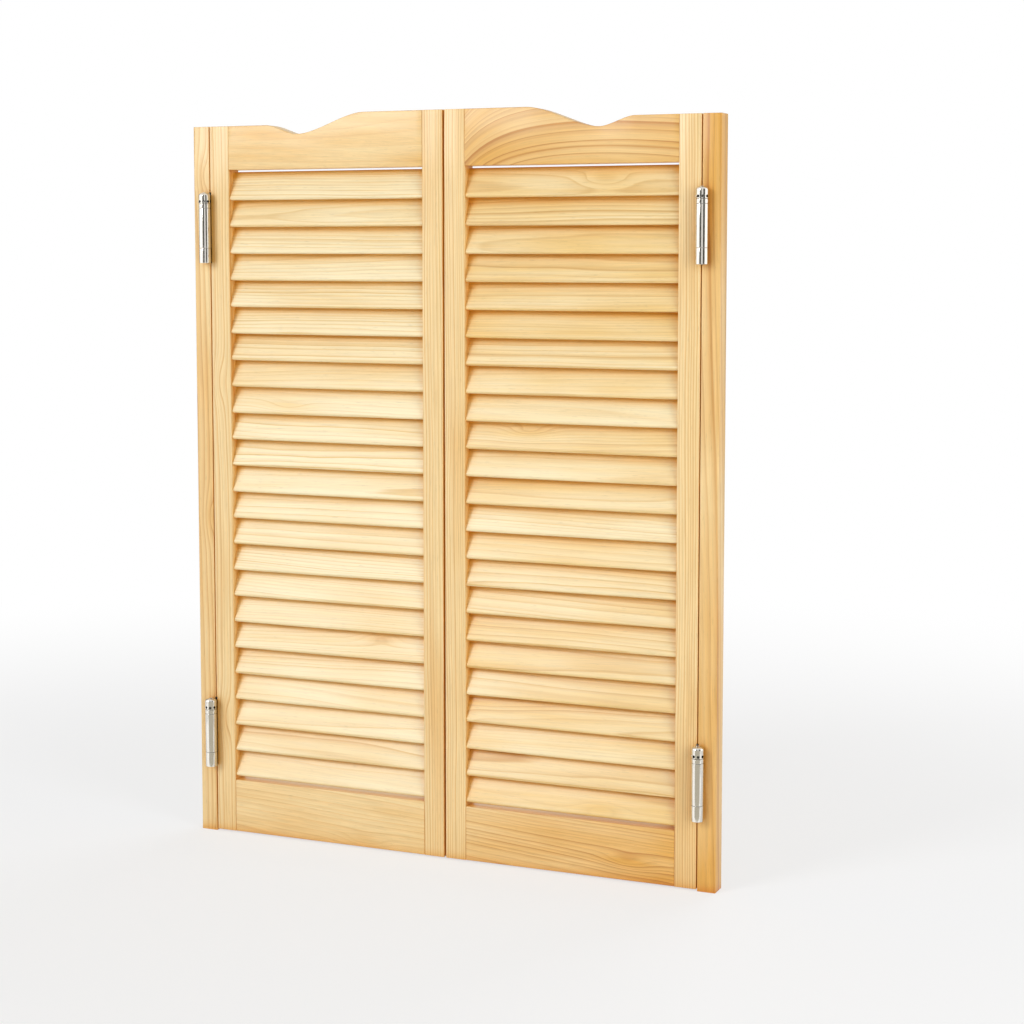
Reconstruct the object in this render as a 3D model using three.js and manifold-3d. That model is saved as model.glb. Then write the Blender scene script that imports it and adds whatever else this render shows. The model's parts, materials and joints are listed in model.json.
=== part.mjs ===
// A pair of louvred pine cafe doors on double-action spring hinges.
// Millimetres, +Z up, +X across the opening, the front faces -Y.
// The origin lies in the middle of the opening, at the foot of the jamb strips.

import * as THREE from 'three';
import { mergeVertices } from 'three/addons/utils/BufferGeometryUtils.js';
import Module from 'manifold-3d';

const wasm = await Module();
wasm.setup();

// Opening and timber
const overallWidth = 805;
const overallHeight = 1060;
const timberThickness = 28;
const arrisRadius = 1.5;
const stripWidth = 26;
const stileWidth = 31;
const meetingGap = 3;
const doorLift = 2.5;
const bottomRailHeight = 78;

// Top rail: a flat beside the hinge stile, a dip, then a rise to the crest
const topRailHeight = 63;
const crestRise = 15;
const dipDepth = 13.5;
const shoulderFlat = 62;
const shoulderRun = 51;
const crestRun = 107;
const curveHandle = 0.3;

// Stub tenons of the rails
const tenonThickness = 10;
const tenonLength = 16;
const tenonShoulder = 12;

// Louvre slats: boards with round noses, the lower edge at the front
const slatWidth = 44;
const slatThickness = 6.4;
const slatTiltDegrees = 22;
const slatPitchAim = 38.8;
const slatRecess = 2;
const slatTopGap = 2.6;
const slatBottomGap = 5;
const slatSeatDepth = 8;

// Clearances
const fit = 0.3;
const seam = 0.2;
const cutOver = 1;

// Hinges, measured from the cap downwards
const upperHingeInset = 146.5;
const lowerHingeInset = 151.5;
const sheetThickness = 1;
const barrelDiameter = 17;
const barrelWall = 1.6;
const barrelStandoff = 0.7;
const barrelShift = 3.5;
const hingeLength = 102.5;
const capHeight = 10.2;
const bandHeight = 6.3;
const ringHeight = 6;
const cupHeight = 21.5;
const cupFloor = 2;
const domeRadius = 4.4;
const rimDrop = 0.8;
const leafDepth = 26;
const leafCorner = 4;
const leafScrewHole = 4.4;
const leafScrewSpread = 13;
const leafScrewEnd = 10.5;
const spindleDiameter = 6;
const tommyHoleCount = 8;
const tommyHole = 4;
const pinProud = 0.3;
const springWire = 2;
const springTurns = 7;

// Facets of round forms
const barrelFacets = 16;
const spindleFacets = 10;
const holeFacets = 6;
const screwHoleDivisions = 4;
const springSteps = 6;
const springSides = 4;
const arcDivisions = 2;
const arrisDivisions = 1;
const curveDivisions = 10;

// Sizes that follow
const halfThickness = timberThickness / 2;
const shoulderZ = overallHeight - crestRise;
const dipZ = shoulderZ - dipDepth;
const openingTop = shoulderZ - topRailHeight;
const openingFoot = doorLift + bottomRailHeight;
const hingeGap = sheetThickness + 2 * fit;
const hingeX = overallWidth / 2 - stripWidth - hingeGap / 2;
const hingeEdge = hingeX - hingeGap / 2;
const hingeFace = hingeEdge - stileWidth;
const meetingEdge = meetingGap / 2;
const meetingFace = meetingEdge + stileWidth;
const barrelRadius = barrelDiameter / 2;
const barrelBore = barrelRadius - barrelWall;
const barrelOffset = halfThickness + barrelStandoff + barrelRadius;
const wallRadius = barrelRadius - barrelWall / 2;
const leafShift = sheetThickness + fit;
const housingFloor = leafShift + sheetThickness / 2 + fit;
const hingeHeights = [['upper', shoulderZ - upperHingeInset], ['lower', lowerHingeInset]];
const hingeTop = hingeLength / 2;
const hingeFoot = -hingeLength / 2;
const bandFoot = hingeTop - capHeight - bandHeight;
const ringTop = bandFoot - fit;
const ringFoot = ringTop - ringHeight;
const longTop = ringFoot - fit;
const cupTop = hingeFoot + cupHeight;
const longFoot = cupTop + fit;
const rimZ = hingeTop - rimDrop;
const holeZ = bandFoot + bandHeight / 2;
const collarTurn = Math.PI / tommyHoleCount;
const spindleRadius = spindleDiameter / 2;
const tilt = THREE.MathUtils.degToRad(slatTiltDegrees);
const slatRun = slatWidth - slatThickness;
const slatRise = slatRun * Math.cos(tilt) + slatThickness;
const slatDepth = slatRun * Math.sin(tilt) + slatThickness;
const slatY = slatRecess + slatDepth / 2 - halfThickness;
const lowestSlatZ = openingFoot + slatBottomGap + slatRise / 2;
const highestSlatZ = openingTop - slatTopGap - slatRise / 2;
const slatSteps = Math.round((highestSlatZ - lowestSlatZ) / slatPitchAim);
const slatPitch = (highestSlatZ - lowestSlatZ) / slatSteps;

const pine = new THREE.MeshStandardMaterial({ color: 0xf0cf96, roughness: 0.5, metalness: 0 });
const pineSlat = new THREE.MeshStandardMaterial({ color: 0xf5dba9, roughness: 0.5, metalness: 0 });
const nickel = new THREE.MeshStandardMaterial({ color: 0xd4d2cd, roughness: 0.22, metalness: 1 });
const springSteel = new THREE.MeshStandardMaterial({ color: 0x8d8f92, roughness: 0.4, metalness: 1 });

// Solids from geometry and back

const solidOf = (geometry) => {
  const bare = new THREE.BufferGeometry();
  bare.setAttribute('position', geometry.getAttribute('position'));
  bare.setIndex(geometry.getIndex());
  const welded = mergeVertices(bare);
  const corners = welded.getIndex().array;
  const triangles = [];
  for (let i = 0; i < corners.length; i += 3) {
    const [a, b, c] = [corners[i], corners[i + 1], corners[i + 2]];
    if (a !== b && b !== c && c !== a) triangles.push(a, b, c);
  }
  return new wasm.Manifold(new wasm.Mesh({
    numProp: 3,
    vertProperties: new Float32Array(welded.getAttribute('position').array),
    triVerts: new Uint32Array(triangles),
  }));
};

const geometryOf = (solid) => {
  const { vertProperties, triVerts } = solid.getMesh();
  const geometry = new THREE.BufferGeometry();
  geometry.setAttribute('position', new THREE.BufferAttribute(new Float32Array(vertProperties), 3));
  geometry.setIndex(new THREE.BufferAttribute(new Uint32Array(triVerts), 1));
  geometry.computeVertexNormals();
  return geometry;
};

const joined = (solids) => solids.reduce((sum, solid) => sum.add(solid));

const cutBy = (body, tools) => tools.reduce((left, tool) => left.subtract(tool), body);

// Forms

// An outline drawn in (Y, Z), (X, Z) or (X, Y) and extruded evenly to both sides along the third axis.
const axisX = new THREE.Vector3(1, 0, 0);
const axisY = new THREE.Vector3(0, 1, 0);
const axisZ = new THREE.Vector3(0, 0, 1);
const facing = {
  x: new THREE.Matrix4().makeBasis(axisY, axisZ, axisX),
  y: new THREE.Matrix4().makeBasis(axisX, axisZ, axisY.clone().negate()),
  z: new THREE.Matrix4().makeBasis(axisX, axisY, axisZ),
};

const extruded = (outline, length, axis, divisions) => {
  const options = { depth: length, bevelEnabled: false, curveSegments: divisions };
  const geometry = new THREE.ExtrudeGeometry(outline, options);
  return geometry.translate(0, 0, -length / 2).applyMatrix4(facing[axis]);
};

const roundedRectangle = (width, height, radius) => {
  const [x, y] = [width / 2 - radius, height / 2 - radius];
  const outline = new THREE.Shape();
  outline.absarc(x, y, radius, 0, Math.PI / 2);
  outline.absarc(-x, y, radius, Math.PI / 2, Math.PI);
  outline.absarc(-x, -y, radius, Math.PI, 1.5 * Math.PI);
  outline.absarc(x, -y, radius, 1.5 * Math.PI, 2 * Math.PI);
  outline.closePath();
  return outline;
};

// A profile of (radius, height) turned about Z, with a flat facing each axis.
const turned = (profile, facets) => {
  const geometry = new THREE.LatheGeometry(profile.getPoints(arcDivisions), facets);
  return geometry.rotateX(Math.PI / 2).rotateZ(Math.PI / facets);
};

const tube = (outer, inner, foot, top) => {
  const profile = new THREE.Path();
  profile.moveTo(inner, foot);
  profile.lineTo(outer, foot);
  profile.lineTo(outer, top);
  profile.lineTo(inner, top);
  profile.lineTo(inner, foot);
  return turned(profile, barrelFacets);
};

const rod = (diameter, length, facets) => (
  new THREE.CylinderGeometry(diameter / 2, diameter / 2, length, facets)
);

// Timber

const board = (width, foot, top) => {
  const section = roundedRectangle(width, timberThickness, arrisRadius);
  return extruded(section, top - foot, 'z', arrisDivisions).translate(0, 0, (foot + top) / 2);
};

// A slat, or with a margin the mortise that holds its end, between two places along X.
const slat = (from, to, height, margin) => {
  const radius = slatThickness / 2 + margin;
  const outline = new THREE.Shape();
  outline.absarc(0, slatRun / 2, radius, 0, Math.PI);
  outline.absarc(0, -slatRun / 2, radius, Math.PI, 2 * Math.PI);
  outline.closePath();
  const geometry = extruded(outline, Math.abs(to - from), 'x', arcDivisions).rotateX(-tilt);
  return solidOf(geometry.translate((from + to) / 2, slatY, height));
};

const slatHeights = Array.from({ length: slatSteps + 1 }, (_, i) => lowestSlatZ + i * slatPitch);

const block = (from, to, depth, foot, top) => {
  const geometry = new THREE.BoxGeometry(Math.abs(to - from), depth, top - foot);
  return solidOf(geometry.translate((from + to) / 2, 0, (foot + top) / 2));
};

// The tenon of a rail between two heights, and the mortises for both rails in one stile.
const railHeights = [
  [openingTop + tenonShoulder, shoulderZ - tenonShoulder],
  [doorLift + tenonShoulder, openingFoot - tenonShoulder],
];

const tenons = (side, [foot, top]) => block(
  side * (meetingFace - tenonLength),
  side * (hingeFace + tenonLength),
  tenonThickness,
  foot,
  top,
);

const mortises = (mouth, bottom) => railHeights.map(([foot, top]) => (
  block(mouth, bottom, tenonThickness + 2 * fit, foot - fit, top + fit)
));

// The shallow housings that let the hinge leaves into the strip or, with the other way, into the stile.
const housings = (side, way) => hingeHeights.map(([, height]) => block(
  side * hingeX,
  side * (hingeX + way * housingFloor),
  timberThickness + 2 * cutOver,
  height + hingeFoot - fit,
  height + hingeTop + fit,
));

const jambStrip = (side) => {
  const strip = solidOf(board(stripWidth, 0, shoulderZ)
    .translate(side * (overallWidth / 2 - stripWidth / 2), 0, 0));
  return cutBy(strip, housings(side, 1));
};

const meetingStileWithSlats = (side) => {
  const stile = solidOf(board(stileWidth, doorLift, overallHeight)
    .translate(side * (meetingEdge + stileWidth / 2), 0, 0));
  const from = side * (meetingFace - slatSeatDepth);
  const to = side * (hingeFace + slatSeatDepth);
  const slats = slatHeights.map((height) => slat(from, to, height, 0));
  const mouth = side * (meetingFace + cutOver);
  const bottom = side * (meetingFace - tenonLength - fit);
  return joined([cutBy(stile, mortises(mouth, bottom)), ...slats]);
};

const hingeStile = (side) => {
  const stile = solidOf(board(stileWidth, doorLift, shoulderZ)
    .translate(side * (hingeEdge - stileWidth / 2), 0, 0));
  const mouth = side * (hingeFace - cutOver);
  const seatBottom = side * (hingeFace + slatSeatDepth + fit);
  const seats = slatHeights.map((height) => slat(mouth, seatBottom, height, fit));
  const railMortises = mortises(mouth, side * (hingeFace + tenonLength + fit));
  return cutBy(stile, [...railMortises, ...seats, ...housings(side, -1)]);
};

const topRail = (side) => {
  const shoulder = hingeFace - shoulderFlat;
  const dip = shoulder - shoulderRun;
  const crest = dip - crestRun;
  const shoulderHandle = curveHandle * shoulderRun;
  const crestHandle = curveHandle * crestRun;
  const outline = new THREE.Shape();
  outline.moveTo(side * (meetingFace + seam), openingTop);
  outline.lineTo(side * (meetingFace + seam), overallHeight);
  outline.lineTo(side * crest, overallHeight);
  outline.bezierCurveTo(
    side * (crest + crestHandle), overallHeight,
    side * (dip - crestHandle), dipZ,
    side * dip, dipZ,
  );
  outline.bezierCurveTo(
    side * (dip + shoulderHandle), dipZ,
    side * (shoulder - shoulderHandle), shoulderZ,
    side * shoulder, shoulderZ,
  );
  outline.lineTo(side * (hingeFace - seam), shoulderZ);
  outline.lineTo(side * (hingeFace - seam), openingTop);
  outline.closePath();
  const rail = solidOf(extruded(outline, timberThickness, 'y', curveDivisions));
  return joined([rail, tenons(side, railHeights[0])]);
};

const bottomRail = (side) => {
  const rail = block(
    side * (meetingFace + seam),
    side * (hingeFace - seam),
    timberThickness,
    doorLift,
    openingFoot,
  );
  return joined([rail, tenons(side, railHeights[1])]);
};

// Hinge pieces about the middle of a left hinge. The barrels stand at -Y and +Y, both of them shifted
// towards the jamb at -X. Half a turn makes the right hinge of it.

// How far a sheet at this distance from a barrel's axis reaches towards it, to the middle of its wall.
const reachOf = (distance) => barrelOffset - Math.sqrt(wallRadius ** 2 - distance ** 2);

// A leaf with its ring and its closed cup on the barrel at -Y, its plate at -X of the web.
const leaf = (shift) => {
  const back = leafDepth / 2;
  const leafReach = reachOf(shift + leafShift);
  const outline = new THREE.Shape();
  outline.moveTo(-leafReach, hingeFoot);
  outline.lineTo(back - leafCorner, hingeFoot);
  outline.absarc(back - leafCorner, hingeFoot + leafCorner, leafCorner, -Math.PI / 2, 0);
  outline.absarc(back - leafCorner, hingeTop - leafCorner, leafCorner, 0, Math.PI / 2);
  outline.lineTo(-back, hingeTop);
  outline.lineTo(-back, ringTop);
  outline.lineTo(-leafReach, ringTop);
  outline.lineTo(-leafReach, ringFoot);
  outline.lineTo(-back, ringFoot);
  outline.lineTo(-back, cupTop);
  outline.lineTo(-leafReach, cupTop);
  outline.closePath();
  for (const y of [-leafScrewSpread / 2, leafScrewSpread / 2]) {
    for (const z of [hingeFoot + leafScrewEnd, hingeTop - leafScrewEnd]) {
      const hole = new THREE.Path();
      hole.absarc(y, z, leafScrewHole / 2, 0, 2 * Math.PI, true);
      outline.holes.push(hole);
    }
  }
  const plate = extruded(outline, sheetThickness, 'x', screwHoleDivisions).translate(-leafShift, 0, 0);
  const ring = tube(barrelRadius, barrelBore, ringFoot, ringTop);
  const cup = new THREE.Path();
  cup.moveTo(0, hingeFoot);
  cup.lineTo(barrelRadius, hingeFoot);
  cup.lineTo(barrelRadius, cupTop);
  cup.lineTo(barrelBore, cupTop);
  cup.lineTo(barrelBore, hingeFoot + cupFloor);
  cup.lineTo(0, hingeFoot + cupFloor);
  const knuckles = [ring, turned(cup, barrelFacets)]
    .map((knuckle) => knuckle.translate(shift, -barrelOffset, 0));
  return geometryOf(joined([plate, ...knuckles].map(solidOf)));
};

// The web plate with a long barrel rolled at each edge.
const web = () => {
  const webReach = reachOf(barrelShift);
  const outline = new THREE.Shape();
  outline.moveTo(-webReach, longFoot);
  outline.lineTo(webReach, longFoot);
  outline.lineTo(webReach, longTop);
  outline.lineTo(-webReach, longTop);
  outline.closePath();
  const plate = extruded(outline, sheetThickness, 'x', arcDivisions);
  const barrels = [-barrelOffset, barrelOffset]
    .map((y) => tube(barrelRadius, barrelBore, longFoot, longTop).translate(-barrelShift, y, 0));
  return geometryOf(joined([plate, ...barrels].map(solidOf)));
};

// Pieces on one barrel's axis. Collar, spindle and pin are wound by half a hole's step.

const collar = () => {
  const bore = spindleRadius + fit;
  const profile = new THREE.Path();
  profile.moveTo(bore, bandFoot);
  profile.lineTo(barrelRadius, bandFoot);
  profile.lineTo(barrelRadius, rimZ - domeRadius);
  profile.absarc(barrelRadius - domeRadius, rimZ - domeRadius, domeRadius, 0, Math.PI / 2);
  profile.lineTo(bore, rimZ);
  profile.lineTo(bore, bandFoot);
  const holes = Array.from({ length: tommyHoleCount }, (_, i) => {
    const hole = rod(tommyHole, barrelRadius, holeFacets).translate(0, bore / 2 + barrelRadius / 2, 0);
    return solidOf(hole.rotateZ((2 * Math.PI * i) / tommyHoleCount).translate(0, 0, holeZ));
  });
  return geometryOf(cutBy(solidOf(turned(profile, barrelFacets)), holes)).rotateZ(collarTurn);
};

const spindle = () => {
  const foot = hingeFoot + cupFloor + fit;
  const profile = new THREE.Path();
  profile.moveTo(0, foot);
  profile.lineTo(spindleRadius, foot);
  profile.lineTo(spindleRadius, hingeTop - rimDrop);
  profile.lineTo(spindleRadius - rimDrop, hingeTop);
  profile.lineTo(0, hingeTop);
  const cross = rod(tommyHole, 2 * spindleDiameter, holeFacets).rotateZ(Math.PI / 2).translate(0, 0, holeZ);
  return geometryOf(cutBy(solidOf(turned(profile, spindleFacets)), [solidOf(cross)])).rotateZ(collarTurn);
};

// The tension pin lies through the collar and the spindle, towards -X before it is wound.
const pin = () => {
  const [inner, outer] = [spindleRadius, -barrelRadius - pinProud];
  const length = inner - outer;
  return rod(tommyHole - 2 * fit, length, holeFacets).rotateZ(Math.PI / 2)
    .translate((inner + outer) / 2, 0, holeZ).rotateZ(collarTurn);
};

// The torsion spring stands in the long barrel and the ring, under the collar.
const springCoil = () => {
  const radius = barrelBore - fit - springWire / 2;
  const foot = longFoot + springWire;
  const top = bandFoot - fit - springWire;
  const steps = springTurns * springSteps;
  const turnOf = (i) => (2 * Math.PI * i) / springSteps;
  const points = Array.from({ length: steps + 1 }, (_, i) => new THREE.Vector3(
    radius * Math.cos(turnOf(i)),
    radius * Math.sin(turnOf(i)),
    foot + ((top - foot) * i) / steps,
  ));
  const positions = points.flatMap((point, i) => {
    const outward = new THREE.Vector3(Math.cos(turnOf(i)), Math.sin(turnOf(i)), 0);
    return Array.from({ length: springSides }, (_, k) => {
      const angle = (2 * Math.PI * k) / springSides;
      return point.clone()
        .addScaledVector(outward, (springWire / 2) * Math.cos(angle))
        .addScaledVector(axisZ, (springWire / 2) * Math.sin(angle))
        .toArray();
    }).flat();
  });
  const faces = [];
  for (let i = 0; i < steps; i += 1) {
    for (let k = 0; k < springSides; k += 1) {
      const [a, b] = [i * springSides + k, i * springSides + ((k + 1) % springSides)];
      faces.push(a, a + springSides, b, b, a + springSides, b + springSides);
    }
  }
  const last = steps * springSides;
  for (let k = 1; k < springSides - 1; k += 1) {
    faces.push(0, k, k + 1, last, last + k + 1, last + k);
  }
  const geometry = new THREE.BufferGeometry();
  geometry.setAttribute('position', new THREE.Float32BufferAttribute(positions, 3));
  geometry.setIndex(faces);
  geometry.computeVertexNormals();
  let leastGap = Infinity;
  for (let i = 0; i < points.length; i += 1) {
    for (let j = i + springSteps / 2; j < points.length; j += 1) {
      leastGap = Math.min(leastGap, points[i].distanceTo(points[j]) - springWire);
    }
  }
  console.log(`spring: least gap to itself ${leastGap.toFixed(2)} mm`);
  return geometry;
};

// Assembly

const piece = (name, geometry, material) => {
  const mesh = new THREE.Mesh(geometry, material);
  mesh.name = name;
  return mesh;
};

const doors = new THREE.Group();

for (const [sideName, side] of [['left', -1], ['right', 1]]) {
  doors.add(
    piece(`${sideName}_jamb_strip`, geometryOf(jambStrip(side)), pine),
    piece(`${sideName}_hinge_stile`, geometryOf(hingeStile(side)), pine),
    piece(`${sideName}_meeting_stile_with_slats`, geometryOf(meetingStileWithSlats(side)), pineSlat),
    piece(`${sideName}_top_rail`, geometryOf(topRail(side)), pine),
    piece(`${sideName}_bottom_rail`, geometryOf(bottomRail(side)), pine),
  );
}

const barrelForms = [
  ['tension_collar', collar(), nickel],
  ['spindle', spindle(), nickel],
  ['spring', springCoil(), springSteel],
  ['tension_pin', pin(), nickel],
];

// A leaf is made on the barrel at -Y. Half a turn puts the door's leaf on the other barrel, so its own
// barrel is shifted the other way. The jamb's leaf holds the front barrel on the left of the opening
// and the rear one on the right.
const webForm = web();
const leaves = [
  ['jamb_leaf', leaf(-barrelShift), -barrelShift],
  ['door_leaf', leaf(barrelShift), barrelShift],
];
for (const [sideName, side, barrelNames] of [
  ['left', -1, ['front', 'rear']],
  ['right', 1, ['rear', 'front']],
]) {
  for (const [level, height] of hingeHeights) {
    const prefix = `${sideName}_${level}_hinge`;
    const hinge = new THREE.Group();
    hinge.position.set(side * hingeX, 0, height);
    hinge.rotation.z = side < 0 ? 0 : Math.PI;
    hinge.add(piece(`${prefix}_web`, webForm, nickel));
    for (const [index, [leafName, leafForm, shift]] of leaves.entries()) {
      const half = new THREE.Group();
      half.rotation.z = index * Math.PI;
      half.add(piece(`${prefix}_${leafName}`, leafForm, nickel));
      const barrel = new THREE.Group();
      barrel.position.set(shift, -barrelOffset, 0);
      for (const [name, form, material] of barrelForms) {
        barrel.add(piece(`${prefix}_${barrelNames[index]}_${name}`, form, material));
      }
      half.add(barrel);
      hinge.add(half);
    }
    doors.add(hinge);
  }
}

export default doors;
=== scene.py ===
# %% [markdown]
# # Louvred pine cafe doors
# Two low doors of clear-varnished pine swing both ways in a doorway. Each one hangs by two
# double-action spring hinges on a square strip that is screwed to the jamb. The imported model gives
# every size and place, in metres with +Z up and the front towards -Y. This lesson dresses it piece
# by piece: stage, timber, louvre slats, then the hinges.

# %% Load the frame
import json
import math
from functools import partial

import bmesh
import bpy
from mathutils import Matrix, Vector
from mathutils.geometry import interpolate_bezier


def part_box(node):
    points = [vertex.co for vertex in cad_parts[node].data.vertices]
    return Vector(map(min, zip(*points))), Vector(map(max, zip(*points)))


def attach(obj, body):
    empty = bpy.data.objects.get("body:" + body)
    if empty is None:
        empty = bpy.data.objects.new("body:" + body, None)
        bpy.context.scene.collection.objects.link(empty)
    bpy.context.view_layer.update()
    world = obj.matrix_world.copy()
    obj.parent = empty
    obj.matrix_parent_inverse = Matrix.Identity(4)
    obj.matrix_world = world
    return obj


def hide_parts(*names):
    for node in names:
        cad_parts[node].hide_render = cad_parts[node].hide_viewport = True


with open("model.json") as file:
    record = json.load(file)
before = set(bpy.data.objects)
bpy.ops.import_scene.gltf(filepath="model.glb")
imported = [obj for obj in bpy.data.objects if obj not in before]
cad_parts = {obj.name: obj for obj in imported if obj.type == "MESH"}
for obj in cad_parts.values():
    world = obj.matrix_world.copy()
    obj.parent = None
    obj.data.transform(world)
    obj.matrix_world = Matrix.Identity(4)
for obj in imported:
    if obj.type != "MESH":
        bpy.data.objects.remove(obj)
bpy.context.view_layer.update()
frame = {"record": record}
MM = 0.001
SIDES = {"left": -1, "right": 1}
LEVELS = ("upper", "lower")

# %% [markdown]
# ## Small helpers
# Colours are picked as sRGB hex codes, as on any screen, but shaders count light in linear values,
# so one function converts them. Node trees are long, so a second function adds a node, sets its
# properties and fills or links its inputs. Two more join or cut meshes and set their shading. The
# last turns a mesh into a finished piece: it rides on its body, stands for its CAD nodes and gets
# its material.

# %% Helpers
def linear(code):
    channels = [int(code[i:i + 2], 16) / 255 for i in (1, 3, 5)]
    return (*[c / 12.92 if c <= 0.04045 else ((c + 0.055) / 1.055) ** 2.4 for c in channels], 1.0)


def add_node(tree, kind, inputs=None, **settings):
    node = tree.nodes.new(kind)
    for name, value in settings.items():
        setattr(node, name, value)
    for key, value in (inputs or {}).items():
        if isinstance(value, bpy.types.NodeSocket):
            tree.links.new(value, node.inputs[key])
        else:
            node.inputs[key].default_value = value
    return node


def smooth(mesh):
    mesh.shade_smooth()
    mesh.set_sharp_from_angle(angle=math.radians(40))
    return mesh


def combined(name, meshes, operation):
    """The first mesh with the others joined to it or cut from it."""
    parts = [bpy.data.objects.new(name, mesh) for mesh in meshes]
    for part in parts:
        bpy.context.collection.objects.link(part)
    for part in parts[1:]:
        step = parts[0].modifiers.new(part.name, "BOOLEAN")
        step.operation, step.solver, step.object = operation, "EXACT", part
    mesh = bpy.data.meshes.new_from_object(parts[0].evaluated_get(bpy.context.evaluated_depsgraph_get()))
    for part in parts:
        bpy.data.objects.remove(part)
    mesh.name = name
    return smooth(mesh)


def finish_piece(name, mesh, material, body, nodes=()):
    if material.name not in mesh.materials:
        mesh.materials.clear()
        mesh.materials.append(material)
    piece = bpy.data.objects.new(name, mesh)
    bpy.context.collection.objects.link(piece)
    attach(piece, body)
    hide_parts(*nodes)
    return piece


# %% [markdown]
# ## Camera
# The camera was fitted to the edges of strips and doors in the photograph. Its upright edges are
# almost parallel, as a product photographer likes them, so the camera looks nearly level from below
# the top of the doors, and the lens is shifted a little to bring their feet into the frame.

# %% Camera
CAMERA_PLACE = Vector((1.217, -2.611, 0.864))
CAMERA_TURN = 23.2
CAMERA_DROP = 4.97
CAMERA_LENS = 72.18
CAMERA_SHIFT = -0.08

scene = bpy.context.scene
scene.view_settings.view_transform = "Standard"
camera_data = bpy.data.cameras.new("camera")
camera_data.lens = CAMERA_LENS
camera_data.shift_y = CAMERA_SHIFT
camera = bpy.data.objects.new("camera", camera_data)
camera.location = CAMERA_PLACE
camera.rotation_euler = (math.radians(90 - CAMERA_DROP), 0, math.radians(CAMERA_TURN))
bpy.context.collection.objects.link(camera)
scene.camera = camera
print("camera", CAMERA_LENS, "mm lens at", tuple(CAMERA_PLACE))

# %% [markdown]
# ## Studio
# The doors stand on a white sweep under soft light. Camera and mirror rays see the world and the
# far floor as plain white; close to the doors the floor keeps half of its own shading, so the
# shadow stays. All other rays see a dimmer world, so that the white is no extra light on the pine.

# %% World and floor
WORLD_LIGHT = 0.4
FLOOR_RADIUS = 30.0
FLOOR_SHADOW = 0.62
FADE_START = 0.7
FADE_END = 2.4


def seen_directly(tree):
    path = add_node(tree, "ShaderNodeLightPath").outputs
    mirror = add_node(tree, "ShaderNodeMath", {0: path["Is Glossy Ray"], 1: path["Is Transmission Ray"]},
                      operation="MAXIMUM").outputs[0]
    return add_node(tree, "ShaderNodeMath", {0: path["Is Camera Ray"], 1: mirror},
                    operation="MAXIMUM").outputs[0]


world = bpy.data.worlds.new("studio")
world.use_nodes = True
tree = world.node_tree
tree.nodes.clear()
lit = add_node(tree, "ShaderNodeBackground", {"Color": linear("#FFFFFF"), "Strength": WORLD_LIGHT})
white = add_node(tree, "ShaderNodeBackground", {"Color": linear("#FFFFFF"), "Strength": 1.0})
mixed = add_node(tree, "ShaderNodeMixShader", {0: seen_directly(tree), 1: lit.outputs[0], 2: white.outputs[0]})
add_node(tree, "ShaderNodeOutputWorld", {"Surface": mixed.outputs[0]})
scene.world = world

floor_material = bpy.data.materials.new("white studio sweep")
floor_material.use_nodes = True
tree = floor_material.node_tree
tree.nodes.clear()
place = add_node(tree, "ShaderNodeTexCoord").outputs["Object"]
distance = add_node(tree, "ShaderNodeVectorMath", {0: place}, operation="LENGTH").outputs["Value"]
fade = add_node(tree, "ShaderNodeMapRange", {
    "Value": distance, "From Min": FADE_START, "From Max": FADE_END, "To Min": FLOOR_SHADOW, "To Max": 1.0,
}, interpolation_type="SMOOTHSTEP").outputs[0]
whiteness = add_node(tree, "ShaderNodeMath", {0: fade, 1: seen_directly(tree)}, operation="MULTIPLY").outputs[0]
paper = add_node(tree, "ShaderNodeBsdfDiffuse", {"Color": linear("#F2F2F2")})
glow = add_node(tree, "ShaderNodeEmission", {"Color": linear("#FFFFFF"), "Strength": 1.0})
mixed = add_node(tree, "ShaderNodeMixShader", {0: whiteness, 1: paper.outputs[0], 2: glow.outputs[0]})
add_node(tree, "ShaderNodeOutputMaterial", {"Surface": mixed.outputs[0]})

form = bmesh.new()
bmesh.ops.create_circle(form, cap_ends=True, radius=FLOOR_RADIUS, segments=96)
floor_mesh = bpy.data.meshes.new("floor")
form.to_mesh(floor_mesh)
form.free()
floor_mesh.materials.append(floor_material)
floor = bpy.data.objects.new("floor", floor_mesh)
bpy.context.collection.objects.link(floor)

# %% [markdown]
# A large softbox stands to the left of the camera, well above the doors, and a weaker one to the
# right. Bright metal is only as good as what it mirrors. Dark flags on both sides of the camera, and
# another pair behind the doors, draw the dark lines on the nickel barrels. White cards at the left,
# at the right and on the floor give them light sides, and a grey card before each lower hinge draws
# the band down its middle. Only mirror rays meet flags and cards, so they take no light from the
# pine.

# %% Lamps and flags
TARGET = Vector((0, 0, 0.55))
LAMPS = {
    "key softbox": (Vector((-3.0, -5.2, 3.1)), (2.4, 2.6), 160.0),
    "fill softbox": (Vector((3.0, -1.6, 1.3)), (1.2, 2.2), 45.0),
    "back softbox": (Vector((0.6, 3.0, 2.2)), (2.2, 1.4), 34.0),
}
FLAG_DISTANCE = 3.4
FLAG_SIZE = (1.8, 3.2)
FLAG_TURNS = (-3, 56, 177, 236)
WHITE_CARD_SIZE = (3.4, 3.2)
WHITE_CARD_TURNS = (-58, 105)
FLOOR_CARD_SIZE = (2.6, 1.5)
FLOOR_CARD_PLACE = Vector((0, -0.85, 0.002))
GREY_CARD_SIZE = (0.42, 0.24)
GREY_CARD_DISTANCE = 0.2
GREY_CARD_TURN = -6

for name, (place, size, watts) in LAMPS.items():
    light = bpy.data.lights.new(name, "AREA")
    light.shape = "RECTANGLE"
    light.size, light.size_y = size
    light.energy = watts
    lamp = bpy.data.objects.new(name, light)
    lamp.location = place
    lamp.visible_glossy = name == "key softbox"
    lamp.rotation_euler = (TARGET - place).to_track_quat("-Z", "Y").to_euler()
    bpy.context.collection.objects.link(lamp)


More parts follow.
